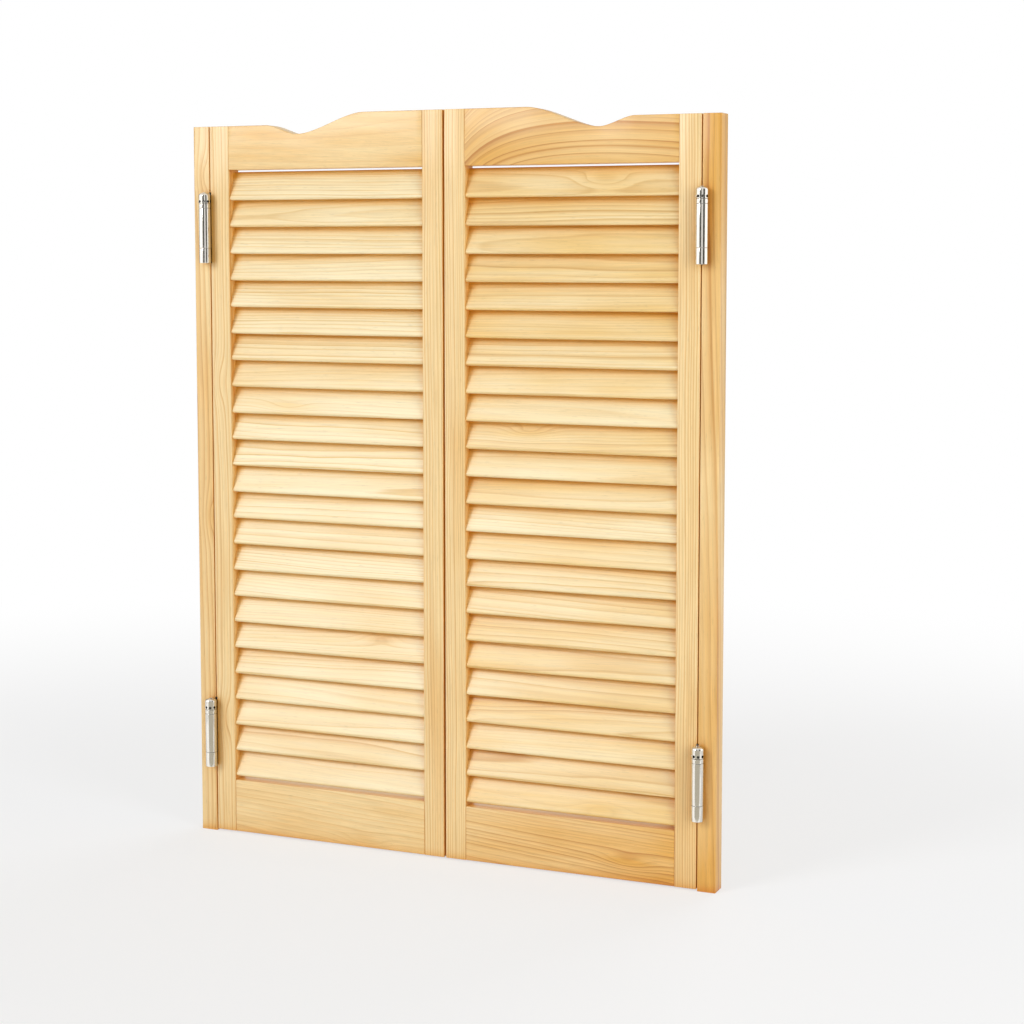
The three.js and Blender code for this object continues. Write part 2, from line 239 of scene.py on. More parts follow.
def upright(turn, distance, height, centre=Vector((0, 0, 0))):
    """An upright place that faces a centre on the floor, turned from the front towards +X."""
    angle = math.radians(turn)
    outward = Vector((math.sin(angle), -math.cos(angle), 0))
    stand = Matrix.Translation(centre + outward * distance + Vector((0, 0, height / 2)))
    return stand @ Matrix.Rotation(angle, 4, "Z") @ Matrix.Rotation(math.pi / 2, 4, "X")


def set_card(name, colour, glow, size, place):
    """A cloth flag, or with some glow a card that shows one even colour."""
    cloth = bpy.data.materials.new(name)
    cloth.use_nodes = True
    shader = cloth.node_tree.nodes["Principled BSDF"].inputs
    shader["Base Color"].default_value = linear("#000000" if glow else colour)
    shader["Roughness"].default_value = 0.9
    shader["Emission Color"].default_value = linear(colour)
    shader["Emission Strength"].default_value = glow
    form = bmesh.new()
    bmesh.ops.create_grid(form, size=0.5)
    bmesh.ops.scale(form, vec=(*size, 1), verts=form.verts)
    bmesh.ops.transform(form, matrix=place, verts=form.verts)
    mesh = bpy.data.meshes.new(name)
    form.to_mesh(mesh)
    form.free()
    mesh.materials.append(cloth)
    card = bpy.data.objects.new(name, mesh)
    bpy.context.collection.objects.link(card)
    for ray in ("camera", "diffuse", "transmission", "volume_scatter", "shadow"):
        setattr(card, "visible_" + ray, False)


for turn in FLAG_TURNS:
    set_card("dark_flag", "#55524A", 0.0, FLAG_SIZE, upright(turn, FLAG_DISTANCE, FLAG_SIZE[1]))
for turn in WHITE_CARD_TURNS:
    set_card("white_card", "#FFFFFF", 1.6, WHITE_CARD_SIZE, upright(turn, FLAG_DISTANCE, WHITE_CARD_SIZE[1]))
set_card("floor_card", "#FFFFFF", 1.25, FLOOR_CARD_SIZE, Matrix.Translation(FLOOR_CARD_PLACE))
for name in SIDES:
    low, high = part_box(name + "_lower_hinge_web")
    foot = Vector(((low.x + high.x) / 2, low.y, 0))
    towards = CAMERA_PLACE - foot
    turn = math.degrees(math.atan2(towards.x, -towards.y)) + GREY_CARD_TURN
    place = upright(turn, GREY_CARD_DISTANCE, GREY_CARD_SIZE[1], foot)
    set_card("grey_card", "#CBC6B8", 1.0, GREY_CARD_SIZE, place)
print(len(LAMPS), "softboxes,", len(FLAG_TURNS), "flags and", len(WHITE_CARD_TURNS) + len(SIDES) + 1, "cards")

# %% [markdown]
# ## Varnished pine
# Pine grows a pale, soft layer each spring and a thin, hard, orange one each summer. A sawn board
# cuts through those layers, so the figure on every face follows from where the board lay in its
# tree. Each vertex therefore stores its place in the tree as log_point: two values across the
# grain, measured from the pith, and one along it. The material measures the distance from the
# pith, bends it a little with noise and turns it into rings, so that faces, edges and ends agree.
# Branches grow in whorls half a metre apart, and the rings bulge round each one: that is the swirl
# beside a knot. A clear satin varnish lies over it all.

# %% Pine material
KNOT_WIDTH = 11 * MM
KNOT_LENGTH = 34 * MM
KNOT_BULGE = 9 * MM
WHORL_STEP = 500 * MM
GOOD_YEARS = 16 * MM
# Painted shade: how far the amber shade painted into corners and under the slats reaches, and its colour.
PINE_SHADE_REACH = 16 * MM
PAINTED_PINE_SHADE = "#F0C562"


def varnished_pine(name, pale_spring, pale_summer, amber_spring, amber_summer):
    material = bpy.data.materials.new(name)
    material.use_nodes = True
    tree = material.node_tree
    shader = tree.nodes["Principled BSDF"].inputs
    node = partial(add_node, tree)
    log_point = node("ShaderNodeAttribute", attribute_name="log_point").outputs["Vector"]
    knot = node("ShaderNodeAttribute", attribute_name="knot").outputs["Vector"]
    ring_gap, tone, figure = [node("ShaderNodeAttribute", attribute_name=label).outputs["Fac"]
                              for label in ("ring_gap", "tone", "figure")]

    def grain_noise(across_mm, along_mm, detail, low, high):
        """Noise stretched along the fibres, its middle range spread from low to high."""
        scale = (1 / (across_mm * MM), 1 / (across_mm * MM), 1 / (along_mm * MM))
        stretched = node("ShaderNodeVectorMath", {0: log_point, 1: scale}, operation="MULTIPLY").outputs[0]
        noise = node("ShaderNodeTexNoise", {"Vector": stretched, "Scale": 1.0, "Detail": detail}).outputs["Fac"]
        return node("ShaderNodeMapRange", {
            "Value": noise, "From Min": 0.3, "From Max": 0.7, "To Min": low, "To Max": high,
        }, clamp=False).outputs[0]

    # A bulge round each knot, 1 at its heart.
    away = node("ShaderNodeVectorMath", {0: log_point, 1: knot}, operation="SUBTRACT").outputs[0]
    away = node("ShaderNodeSeparateXYZ", {0: away}).outputs
    beside = node("ShaderNodeMath", {0: away["X"], 1: KNOT_WIDTH}, operation="DIVIDE").outputs[0]
    above = node("ShaderNodeMath", {0: away["Z"], 1: WHORL_STEP / 2, 2: -WHORL_STEP / 2}, operation="WRAP").outputs[0]
    above = node("ShaderNodeMath", {0: above, 1: KNOT_LENGTH}, operation="DIVIDE").outputs[0]
    near = node("ShaderNodeCombineXYZ", {"X": beside, "Z": above}).outputs[0]
    square = node("ShaderNodeVectorMath", {0: near, 1: near}, operation="DOT_PRODUCT").outputs["Value"]
    fall = node("ShaderNodeMath", {0: square, 1: -1.0}, operation="MULTIPLY").outputs[0]
    bulge = node("ShaderNodeMath", {0: fall}, operation="EXPONENT").outputs[0]

    # Rings: distance from the pith, swayed by slow waves 60 mm wide and by ripples 8 mm wide.
    across = node("ShaderNodeVectorMath", {0: log_point, 1: (1, 1, 0)}, operation="MULTIPLY").outputs[0]
    radius = node("ShaderNodeVectorMath", {0: across}, operation="LENGTH").outputs["Value"]
    radius = node("ShaderNodeMath", {0: bulge, 1: KNOT_BULGE, 2: radius}, operation="MULTIPLY_ADD").outputs[0]
    for across_mm, along_mm, sway_mm in ((60, 340, 2.4), (8, 90, 0.3)):
        sway = grain_noise(across_mm, along_mm, 1.0, -sway_mm * MM, sway_mm * MM)
        radius = node("ShaderNodeMath", {0: radius, 1: sway}, operation="ADD").outputs[0]

    # Good and poor years come in runs, so the rings are not evenly spaced.
    runs = node("ShaderNodeMath", {0: radius, 1: GOOD_YEARS}, operation="DIVIDE").outputs[0]
    runs = node("ShaderNodeTexNoise", {"W": runs, "Scale": 1.0}, noise_dimensions="1D").outputs["Fac"]
    years = node("ShaderNodeMath", {0: radius, 1: ring_gap}, operation="DIVIDE").outputs[0]
    years = node("ShaderNodeMath", {0: runs, 1: 2.0, 2: years}, operation="MULTIPLY_ADD").outputs[0]
    season = node("ShaderNodeMath", {0: years}, operation="FRACT").outputs[0]
    year = node("ShaderNodeMath", {0: years}, operation="FLOOR").outputs[0]
    vigour = node("ShaderNodeTexWhiteNoise", {"W": year}, noise_dimensions="1D").outputs["Value"]
    vigour = node("ShaderNodeMapRange", {"Value": vigour, "To Min": 0.3, "To Max": 1.0}).outputs[0]

    # A ring darkens slowly from spring to summer and ends sharply at winter.
    ramp = node("ShaderNodeValToRGB", {"Fac": season})
    ramp.color_ramp.interpolation = "EASE"
    for position, value in ((0.3, 0.05), (0.7, 0.42), (0.88, 1.0)):
        ramp.color_ramp.elements.new(position).color = (value, value, value, 1)
    ramp.color_ramp.elements[0].color = (0.02, 0.02, 0.02, 1)
    ramp.color_ramp.elements[-1].color = (0, 0, 0, 1)
    summer = node("ShaderNodeMath", {0: ramp.outputs[0], 1: vigour}, operation="MULTIPLY").outputs[0]
    summer = node("ShaderNodeMath", {0: summer, 1: figure}, operation="MULTIPLY", use_clamp=True).outputs[0]

    # The board's tone, with warmer heartwood in blotches 70 mm wide, in streaks 12 mm wide and
    # at the heart of a knot.
    heart = node("ShaderNodeMath", {0: bulge, 1: 0.3}, operation="MULTIPLY").outputs[0]
    amber = tone
    for part in (grain_noise(70, 260, 2.0, -0.26, 0.31), grain_noise(12, 420, 1.0, -0.12, 0.18), heart):
        amber = node("ShaderNodeMath", {0: amber, 1: part}, operation="ADD").outputs[0]
    amber = node("ShaderNodeClamp", {0: amber}).outputs[0]
    spring, late = [
        node("ShaderNodeMix", {0: amber, 6: linear(pale), 7: linear(deep)}, data_type="RGBA").outputs[2]
        for pale, deep in ((pale_spring, amber_spring), (pale_summer, amber_summer))
    ]
    grown = node("ShaderNodeMix", {0: summer, 6: spring, 7: late}, data_type="RGBA").outputs[2]

    # Fibres of 1.4 by 60 mm and resin canals of 1.2 by 14 mm, coarser than real ones so that they
    # show at all.
    fibre = grain_noise(1.4, 60, 3.0, 0.0, 1.0)
    canals = node("ShaderNodeMapRange", {
        "Value": grain_noise(1.2, 14, 1.0, 0.0, 1.0), "From Min": 0.85, "From Max": 1.2, "To Min": 1.0, "To Max": 0.86,
    }).outputs[0]
    shade = node("ShaderNodeMapRange", {"Value": fibre, "To Min": 0.91, "To Max": 1.04}).outputs[0]
    shade = node("ShaderNodeMath", {0: shade, 1: canals}, operation="MULTIPLY").outputs[0]
    colour = node("ShaderNodeVectorMath", {0: grown, 3: shade}, operation="SCALE").outputs[0]

    # Painted shade: the colour turns a deeper amber in corners and under the slats, wherever ambient occlusion finds
    # shade.
    openness = node("ShaderNodeAmbientOcclusion", {"Distance": PINE_SHADE_REACH}, samples=4).outputs["AO"]
    painted_shade_colour = node("ShaderNodeVectorMath", {0: colour, 1: linear(PAINTED_PINE_SHADE)[:3]}, operation="MULTIPLY").outputs[0]
    clear = node("ShaderNodeMapRange", {"Value": openness, "From Min": 0.45, "From Max": 0.9},
                 interpolation_type="SMOOTHSTEP").outputs[0]
    colour = node("ShaderNodeMix", {0: clear, 4: painted_shade_colour, 5: colour}, data_type="VECTOR").outputs[1]
    tree.links.new(colour, shader["Base Color"])

    gloss = node("ShaderNodeMapRange", {"Value": fibre, "To Min": 0.38, "To Max": 0.5}).outputs[0]
    tree.links.new(gloss, shader["Roughness"])
    relief = node("ShaderNodeMath", {0: summer, 1: 0.6, 2: fibre}, operation="MULTIPLY_ADD").outputs[0]
    bump = node("ShaderNodeBump", {"Height": relief, "Strength": 0.25, "Distance": 0.15 * MM})
    tree.links.new(bump.outputs[0], shader["Normal"])
    shader["IOR"].default_value = 1.5
    shader["Coat Weight"].default_value = 0.25
    shader["Coat Roughness"].default_value = 0.2
    return material


frame_pine = varnished_pine("satin varnished pine boards", "#F6D89D", "#DEA656", "#E6AE4F", "#B8701F")
slat_pine = varnished_pine("satin varnished pine slats", "#F6E4B6", "#E3BB6A", "#EAC068", "#C48C38")
print("pine", [len(m.node_tree.nodes) for m in (frame_pine, slat_pine)], "nodes")

# %% [markdown]
# ## Boards
# Strips, stiles and bottom rails are planed boards whose long edges were eased with a sanding
# block. Outer edges are round enough to catch a line of light; edges that face another board stay
# crisp, so that joint and gap show as fine lines. The hinge leaves are let into shallow housings, so
# strip and stile stand close together.

# %% Board helpers
EASED = 1.6 * MM
CRISP = 0.6 * MM
SAWN = 0.7 * MM
EASE_STEPS = 3
BOARD_CUTS = 9
HOUSING_DEPTH = 1.3 * MM
FIT = 0.3 * MM


def parallel_edges(form, axis):
    return [e for e in form.edges if abs((e.verts[0].co - e.verts[1].co).normalized()[axis]) > 0.999]


def ease(form, edges, radius):
    bmesh.ops.bevel(form, geom=edges, offset=radius, segments=EASE_STEPS, profile=0.5, affect="EDGES")


def block(low, high):
    form = bmesh.new()
    bmesh.ops.create_cube(form, size=1)
    bmesh.ops.scale(form, vec=high - low, verts=form.verts)
    bmesh.ops.translate(form, vec=(low + high) / 2, verts=form.verts)
    return form


def mesh_of(name, form):
    mesh = bpy.data.meshes.new(name)
    form.to_mesh(mesh)
    form.free()
    return mesh


def board(name, low, high, along, crisp=()):
    """A board with its grain along an axis, crisp on the sides of it that are named by a sign of X."""
    form = block(low, high)
    bmesh.ops.subdivide_edges(form, edges=parallel_edges(form, along), cuts=BOARD_CUTS, use_grid_fill=True)
    long_edges = parallel_edges(form, along)
    middle = (low + high) / 2
    crisp_edges = [e for e in long_edges if (1 if e.verts[0].co.x > middle.x else -1) in crisp]
    eased_edges = [e for e in long_edges if e not in crisp_edges]
    for edges, radius in ((crisp_edges, CRISP), (eased_edges, EASED)):
        ease(form, edges, radius)
    rims = [e for e in form.edges
            if all(min(abs(v.co[along] - low[along]), abs(v.co[along] - high[along])) < 1e-6 for v in e.verts)]
    ease(form, rims, SAWN)
    return smooth(mesh_of(name, form))


def housed(mesh, side_name, low, high, inwards):
    """A board with a housing for the leaf of each hinge, cut inwards from its face in the hinge gap."""
    face = low.x if inwards > 0 else high.x
    cutters = []
    for level in LEVELS:
        leaf_low, leaf_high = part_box(f"{side_name}_{level}_hinge_door_leaf")
        xs = sorted((face + inwards * HOUSING_DEPTH, face - inwards * HOUSING_DEPTH))
        cutters.append(mesh_of("housing", block(Vector((xs[0], low.y - FIT, leaf_low.z - FIT)),
                                                Vector((xs[1], high.y + FIT, leaf_high.z + FIT)))))
    return combined(mesh.name, [mesh, *cutters], "DIFFERENCE")


def lay_grain(mesh, along, pith, lean, ring_mm, tone, figure, year, knot=(500, 0), bow=None):
    """Store each vertex's place in the tree. Pairs run across the width and the depth, tone is for
    the board's start, middle and end, and knot is a place across and along the board."""
    wide = 2 if along == 0 else 0
    count = len(mesh.vertices)
    corners = [v.co for v in mesh.vertices]
    low, high = [[pick(c[i] for c in corners) for i in range(3)] for pick in (min, max)]
    middle = [(a + b) / 2 for a, b in zip(low, high)]
    points, tones = [], []
    for corner in corners:
        w = corner[along] - middle[along]
        u = corner[wide] - middle[wide] + pith[0] * MM + lean[0] * w + (bow(w) if bow else 0)
        v = corner[1] - middle[1] + pith[1] * MM + lean[1] * w
        points += (u, v, w + year)
        way = 2 * w / (high[along] - low[along])
        tones.append(tone[1] + (tone[2 if way > 0 else 0] - tone[1]) * abs(way))
    branch = ((pith[0] + knot[0]) * MM + lean[0] * knot[1] * MM, pith[1] * MM, knot[1] * MM + year)
    for label, values in (("log_point", points), ("knot", branch * count)):
        mesh.attributes.new(label, "FLOAT_VECTOR", "POINT").data.foreach_set("vector", values)
    for label, values in (("ring_gap", [ring_mm * MM] * count), ("tone", tones), ("figure", [figure] * count)):
        mesh.attributes.new(label, "FLOAT", "POINT").data.foreach_set("value", values)


# %% Strips, stiles and bottom rails
X, Z = 0, 2
SEAM = 0.2 * MM
stile_low, stile_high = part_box("right_hinge_stile")
STILE_WIDTH = stile_high.x - stile_low.x

BOARD_GRAIN = {
    "left_jamb_strip": dict(pith=(34, 40), lean=(0.012, 0.01), ring_mm=7, tone=(0.2, 0.5, 0.0), figure=0.9,
                            year=1.3, knot=(2, 450)),
    "left_hinge_stile": dict(pith=(60, 30), lean=(0.006, 0.004), ring_mm=5.5, tone=(0.02, -0.12, -0.15), figure=1.0,
                             year=4.1, knot=(-3, 150)),
    "left_meeting_stile": dict(pith=(-58, 12), lean=(0.004, 0.0), ring_mm=4.6, tone=(-0.04, -0.04, -0.1), figure=1.05,
                               year=7.7, knot=(500, 0)),
    "left_bottom_rail": dict(pith=(70, 60), lean=(0.03, 0.03), ring_mm=6.0, tone=(0.12, 0.12, 0.26), figure=0.5,
                             year=11.2, knot=(-30, 60)),
    "left_top_rail": dict(pith=(-50, 70), lean=(0.04, 0.05), ring_mm=7.5, tone=(0.3, 0.27, 0.38), figure=0.3,
                          year=14.9, knot=(500, 0)),
    "right_jamb_strip": dict(pith=(40, 40), lean=(0.02, 0.01), ring_mm=9.0, tone=(0.95, 0.1, 0.9), figure=0.75,
                             year=18.4, knot=(500, 0)),
    "right_hinge_stile": dict(pith=(56, 8), lean=(0.003, 0.002), ring_mm=4.0, tone=(0.28, -0.02, -0.1), figure=1.2,
                              year=21.6, knot=(500, 0)),
    "right_meeting_stile": dict(pith=(64, 6), lean=(0.002, 0.003), ring_mm=3.4, tone=(0.04, -0.05, -0.05), figure=1.15,
                                year=25.3, knot=(500, 0)),
    "right_bottom_rail": dict(pith=(60, 60), lean=(0.03, 0.04), ring_mm=4.4, tone=(0.2, 0.25, 0.8), figure=1.0,
                              year=28.8, knot=(-12, 88)),
    "right_top_rail": dict(pith=(160, 20), lean=(0.0, 0.0), ring_mm=10.5, tone=(0.6, 0.5, 0.6), figure=1.2,
                           year=32.5, knot=(500, 0)),
}
for name, side in SIDES.items():
    strip = name + "_jamb_strip"
    low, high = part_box(strip)
    mesh = housed(board(strip, low, high, Z, (-side,)), name, low, high, side)
    lay_grain(mesh, Z, **BOARD_GRAIN[strip])
    finish_piece(strip, mesh, frame_pine, "jamb", [strip])

    door = name + "_door"
    hinge_stile = name + "_hinge_stile"
    low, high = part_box(hinge_stile)
    mesh = housed(board(hinge_stile, low, high, Z, (-1, 1)), name, low, high, -side)
    lay_grain(mesh, Z, **BOARD_GRAIN[hinge_stile])
    finish_piece(hinge_stile, mesh, frame_pine, door, [hinge_stile])

    fused = name + "_meeting_stile_with_slats"
    low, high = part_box(fused)
    if side > 0:
        high.x = low.x + STILE_WIDTH
    else:
        low.x = high.x - STILE_WIDTH
    meeting_stile = name + "_meeting_stile"
    mesh = board(meeting_stile, low, high, Z, (-1, 1))
    lay_grain(mesh, Z, **BOARD_GRAIN[meeting_stile])
    finish_piece(meeting_stile, mesh, frame_pine, door, [fused])

    rail = name + "_bottom_rail"
    rail_low, rail_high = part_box(rail)
    span = sorted(((high if side > 0 else low).x + side * SEAM,
                   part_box(hinge_stile)[0 if side > 0 else 1].x - side * SEAM))
    rail_low.x, rail_high.x = span
    mesh = board(rail, rail_low, rail_high, X)
    lay_grain(mesh, X, **BOARD_GRAIN[rail])
    finish_piece(rail, mesh, frame_pine, door, [rail])
    print(name, "boards; rail", round((span[1] - span[0]) / MM, 1), "mm long")

# %% [markdown]
# ## Top rails
# The saloon-door outline is sawn from a wide board: a flat beside the hinge stile, a dip, then a
# long rise to the crest at the middle. Two Bezier curves give the sweep, as a maker's bent spline
# would, and every point of the curve becomes a column of the mesh.

# %% Top rails
SHOULDER_FLAT = 62 * MM
SHOULDER_RUN = 51 * MM
CREST_RUN = 107 * MM
CREST_RISE = 15 * MM
DIP_DEPTH = 13.5 * MM
CURVE_HANDLE = 0.3
CURVE_POINTS = 24
FLAT_POINTS = 8
ARCH_RISE = 46 * MM
ARCH_START = 155 * MM
ARCH_REACH = 48 * MM
ARCH_SINK = 0.32
ARCH_TOP = 0 * MM


def crest_line(inner, outer, top):
    """The upper edge, as (distance from the middle, height), from the meeting stile outwards."""
    shoulder = outer - SHOULDER_FLAT
    dip = shoulder - SHOULDER_RUN
    crest = dip - CREST_RUN
    shoulder_z, dip_z = top - CREST_RISE, top - CREST_RISE - DIP_DEPTH
    stations = [(crest, top), (dip, dip_z), (shoulder, shoulder_z)]
    line = [(inner + (crest - inner) * i / FLAT_POINTS, top) for i in range(FLAT_POINTS)]
    for (x0, z0), (x1, z1) in zip(stations, stations[1:]):
        reach = Vector((CURVE_HANDLE * (x1 - x0), 0))
        start, end = Vector((x0, z0)), Vector((x1, z1))
        line += [tuple(p) for p in interpolate_bezier(start, start + reach, end - reach, end, CURVE_POINTS)[:-1]]
    line += [(shoulder + (outer - shoulder) * i / FLAT_POINTS, shoulder_z) for i in range(FLAT_POINTS + 1)]
    return line


def arched_grain(w):
    """Rings that climb steeply from the rail's start, arch over and sink gently to its end."""
    return ARCH_RISE * math.exp(-(w + ARCH_START) / ARCH_REACH) + ARCH_SINK * (w - ARCH_TOP) ** 2


def top_rail(name, side, inner, outer, low, high):
    form = bmesh.new()
    rows = []
    for x, z in crest_line(inner, outer, high.z):
        rows.append([form.verts.new((side * x, y, height))
                     for y, height in ((low.y, low.z), (low.y, z), (high.y, z), (high.y, low.z))])
    for near, far in zip(rows, rows[1:]):
        for i in range(4):
            form.faces.new((near[i], far[i], far[i - 1], near[i - 1]))
    form.faces.new(rows[0])
    form.faces.new(reversed(rows[-1]))
    bmesh.ops.recalc_face_normals(form, faces=form.faces)
    ends = (side * inner, side * outer)
    long_edges = [e for e in form.edges
                  if abs(e.verts[0].co.x - e.verts[1].co.x) > 1e-6]
    ease(form, long_edges, CRISP * 2)
    rims = [e for e in form.edges if any(all(abs(v.co.x - x) < 1e-6 for v in e.verts) for x in ends)]
    ease(form, rims, CRISP / 2)
    mesh = bpy.data.meshes.new(name)
    form.to_mesh(mesh)
    form.free()
    mesh.shade_smooth()
    mesh.set_sharp_from_angle(angle=math.radians(35))
    return mesh


for name, side in SIDES.items():
    rail = name + "_top_rail"
    low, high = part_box(rail)
    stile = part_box(name + "_hinge_stile")
    outer = abs(stile[0 if side > 0 else 1].x) - SEAM
    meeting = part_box(name + "_meeting_stile_with_slats")
    inner = abs(meeting[0 if side > 0 else 1].x) + STILE_WIDTH + SEAM
    mesh = top_rail(rail, side, inner, outer, low, high)
    lay_grain(mesh, X, **BOARD_GRAIN[rail], bow=arched_grain if side > 0 else None)
    finish_piece(rail, mesh, frame_pine, name + "_door", [rail])
    print(rail, len(mesh.polygons), "faces")

# %% [markdown]
# ## Louvre slats
# Twenty-three slats with round noses lie in each door, all alike, tilted so that rain and glances
# stop at the front. A Geometry Nodes tree draws one slat, repeats it up the stile, turns each copy
# by a hair as a hand-set slat would be, and gives each its own place in a tree.

# %% Slat tree
SLAT_WIDTH = 44 * MM
SLAT_THICKNESS = 6.4 * MM
SLAT_TILT = math.radians(22)
SLAT_COUNT = 23
SLAT_RECESS = 2 * MM
SLAT_TOP_GAP = 2.6 * MM
SLAT_BOTTOM_GAP = 5 * MM
SLAT_HOUSED = 1 * MM
NOSE_STEPS = 7


def modifier_tree(name, sockets):
    tree = bpy.data.node_groups.new(name, "GeometryNodeTree")
    tree.interface.new_socket("Geometry", in_out="INPUT", socket_type="NodeSocketGeometry")
    for label, kind in sockets.items():
        tree.interface.new_socket(label, in_out="INPUT", socket_type="NodeSocket" + kind)
    tree.interface.new_socket("Geometry", in_out="OUTPUT", socket_type="NodeSocketGeometry")
    return tree, add_node(tree, "NodeGroupInput").outputs


def grow(name, tree, values, mesh=None):
    """Run a tree on a mesh, or on nothing, and return its result as a plain mesh."""
    carrier = bpy.data.objects.new(name, mesh or bpy.data.meshes.new(name))
    bpy.context.collection.objects.link(carrier)
    modifier = carrier.modifiers.new(name, "NODES")
    modifier.node_group = tree
    for item in tree.interface.items_tree:
        if item.in_out == "INPUT" and item.name in values:
            modifier[item.identifier] = values[item.name]
    depsgraph = bpy.context.evaluated_depsgraph_get()
    made = bpy.data.meshes.new_from_object(carrier.evaluated_get(depsgraph), depsgraph=depsgraph)
    carrier.modifiers.clear()
    bpy.data.objects.remove(carrier)
    made.name = name
    return made


slat_tree, given = modifier_tree("louvre_slats", {
    "Count": "Int", "First": "Vector", "Pitch": "Float", "Length": "Float", "Width": "Float",
    "Thickness": "Float", "Tilt": "Float", "Least Tone": "Float", "Most Tone": "Float", "Seed": "Int",
    "Material": "Material",
})
t = slat_tree
half = add_node(t, "ShaderNodeMath", {0: given["Thickness"], 1: 0.498}, operation="MULTIPLY").outputs[0]
section = add_node(t, "GeometryNodeCurvePrimitiveQuadrilateral", {
    "Width": given["Thickness"], "Height": given["Width"],
}).outputs[0]
section = add_node(t, "GeometryNodeFilletCurve", {
    "Curve": section, "Radius": half, "Count": NOSE_STEPS,
}, mode="POLY").outputs[0]
end = add_node(t, "ShaderNodeCombineXYZ", {"X": given["Length"]}).outputs[0]
run = add_node(t, "GeometryNodeCurvePrimitiveLine", {"End": end}).outputs[0]
slat = add_node(t, "GeometryNodeCurveToMesh", {
    "Curve": run, "Profile Curve": section, "Fill Caps": True,
}).outputs[0]
place = add_node(t, "ShaderNodeSeparateXYZ", {0: add_node(t, "GeometryNodeInputPosition").outputs[0]}).outputs
in_log = add_node(t, "ShaderNodeCombineXYZ", {0: place["Z"], 1: place["Y"], 2: place["X"]}).outputs[0]
slat = add_node(t, "GeometryNodeStoreNamedAttribute", {
    "Geometry": slat, "Name": "log_point", "Value": in_log,
}, data_type="FLOAT_VECTOR", domain="POINT").outputs[0]
turn = add_node(t, "ShaderNodeCombineXYZ", {"X": given["Tilt"]}).outputs[0]
slat = add_node(t, "GeometryNodeTransform", {"Geometry": slat, "Rotation": turn}).outputs[0]
step = add_node(t, "ShaderNodeCombineXYZ", {"Z": given["Pitch"]}).outputs[0]
ladder = add_node(t, "GeometryNodeMeshLine", {
    "Count": given["Count"], "Start Location": given["First"], "Offset": step,
}).outputs[0]
set_by_hand = add_node(t, "FunctionNodeRandomValue", {
    0: (-0.007, 0, 0), 1: (0.007, 0, 0), "Seed": given["Seed"],
}, data_type="FLOAT_VECTOR").outputs[0]
slats = add_node(t, "GeometryNodeInstanceOnPoints", {
    "Points": ladder, "Instance": slat, "Rotation": set_by_hand,
}).outputs[0]
number = add_node(t, "GeometryNodeInputIndex").outputs[0]
slats = add_node(t, "GeometryNodeStoreNamedAttribute", {
    "Geometry": slats, "Name": "slat_number", "Value": number,
}, data_type="INT", domain="INSTANCE").outputs[0]
slats = add_node(t, "GeometryNodeRealizeInstances", {0: slats}).outputs[0]
number = add_node(t, "GeometryNodeInputNamedAttribute", {"Name": "slat_number"}, data_type="INT").outputs[0]
own = add_node(t, "GeometryNodeInputNamedAttribute", {"Name": "log_point"}, data_type="FLOAT_VECTOR").outputs[0]
pith = add_node(t, "FunctionNodeRandomValue", {
    0: (-0.1, 0.02, -6), 1: (0.1, 0.08, 6), "ID": number, "Seed": given["Seed"],
}, data_type="FLOAT_VECTOR").outputs[0]
lean = add_node(t, "FunctionNodeRandomValue", {
    0: (-0.03, -0.02, 0), 1: (0.03, 0.02, 0), "ID": number,
    "Seed": add_node(t, "ShaderNodeMath", {0: given["Seed"], 1: 1.0}, operation="ADD").outputs[0],
}, data_type="FLOAT_VECTOR").outputs[0]
along = add_node(t, "ShaderNodeSeparateXYZ", {0: own}).outputs["Z"]
slope = add_node(t, "ShaderNodeVectorMath", {0: lean, 3: along}, operation="SCALE").outputs[0]
moved = add_node(t, "ShaderNodeVectorMath", {0: own, 1: pith}, operation="ADD").outputs[0]
moved = add_node(t, "ShaderNodeVectorMath", {0: moved, 1: slope}, operation="ADD").outputs[0]
branch = add_node(t, "FunctionNodeRandomValue", {
    0: (-0.2, 0, 0), 1: (0.2, 0, 0.5), "ID": number,
    "Seed": add_node(t, "ShaderNodeMath", {0: given["Seed"], 1: 5.0}, operation="ADD").outputs[0],
}, data_type="FLOAT_VECTOR").outputs[0]
branch = add_node(t, "ShaderNodeVectorMath", {0: branch, 1: pith}, operation="ADD").outputs[0]
for label, value in (("log_point", moved), ("knot", branch)):
    slats = add_node(t, "GeometryNodeStoreNamedAttribute", {
        "Geometry": slats, "Name": label, "Value": value,
    }, data_type="FLOAT_VECTOR", domain="POINT").outputs[0]
for label, low_value, high_value, shift in (
    ("ring_gap", 0.0035, 0.008, 2), ("tone", given["Least Tone"], given["Most Tone"], 3), ("figure", 0.4, 1.2, 4),
):
    seed = add_node(t, "ShaderNodeMath", {0: given["Seed"], 1: float(shift)}, operation="ADD").outputs[0]
    drawn = add_node(t, "FunctionNodeRandomValue", {
        2: low_value, 3: high_value, "ID": number, "Seed": seed,
    }, data_type="FLOAT").outputs[1]
    slats = add_node(t, "GeometryNodeStoreNamedAttribute", {
        "Geometry": slats, "Name": label, "Value": drawn,
    }, data_type="FLOAT", domain="POINT").outputs[0]
slats = add_node(t, "GeometryNodeSetMaterial", {"Geometry": slats, "Material": given["Material"]}).outputs[0]
add_node(t, "NodeGroupOutput", {0: slats})

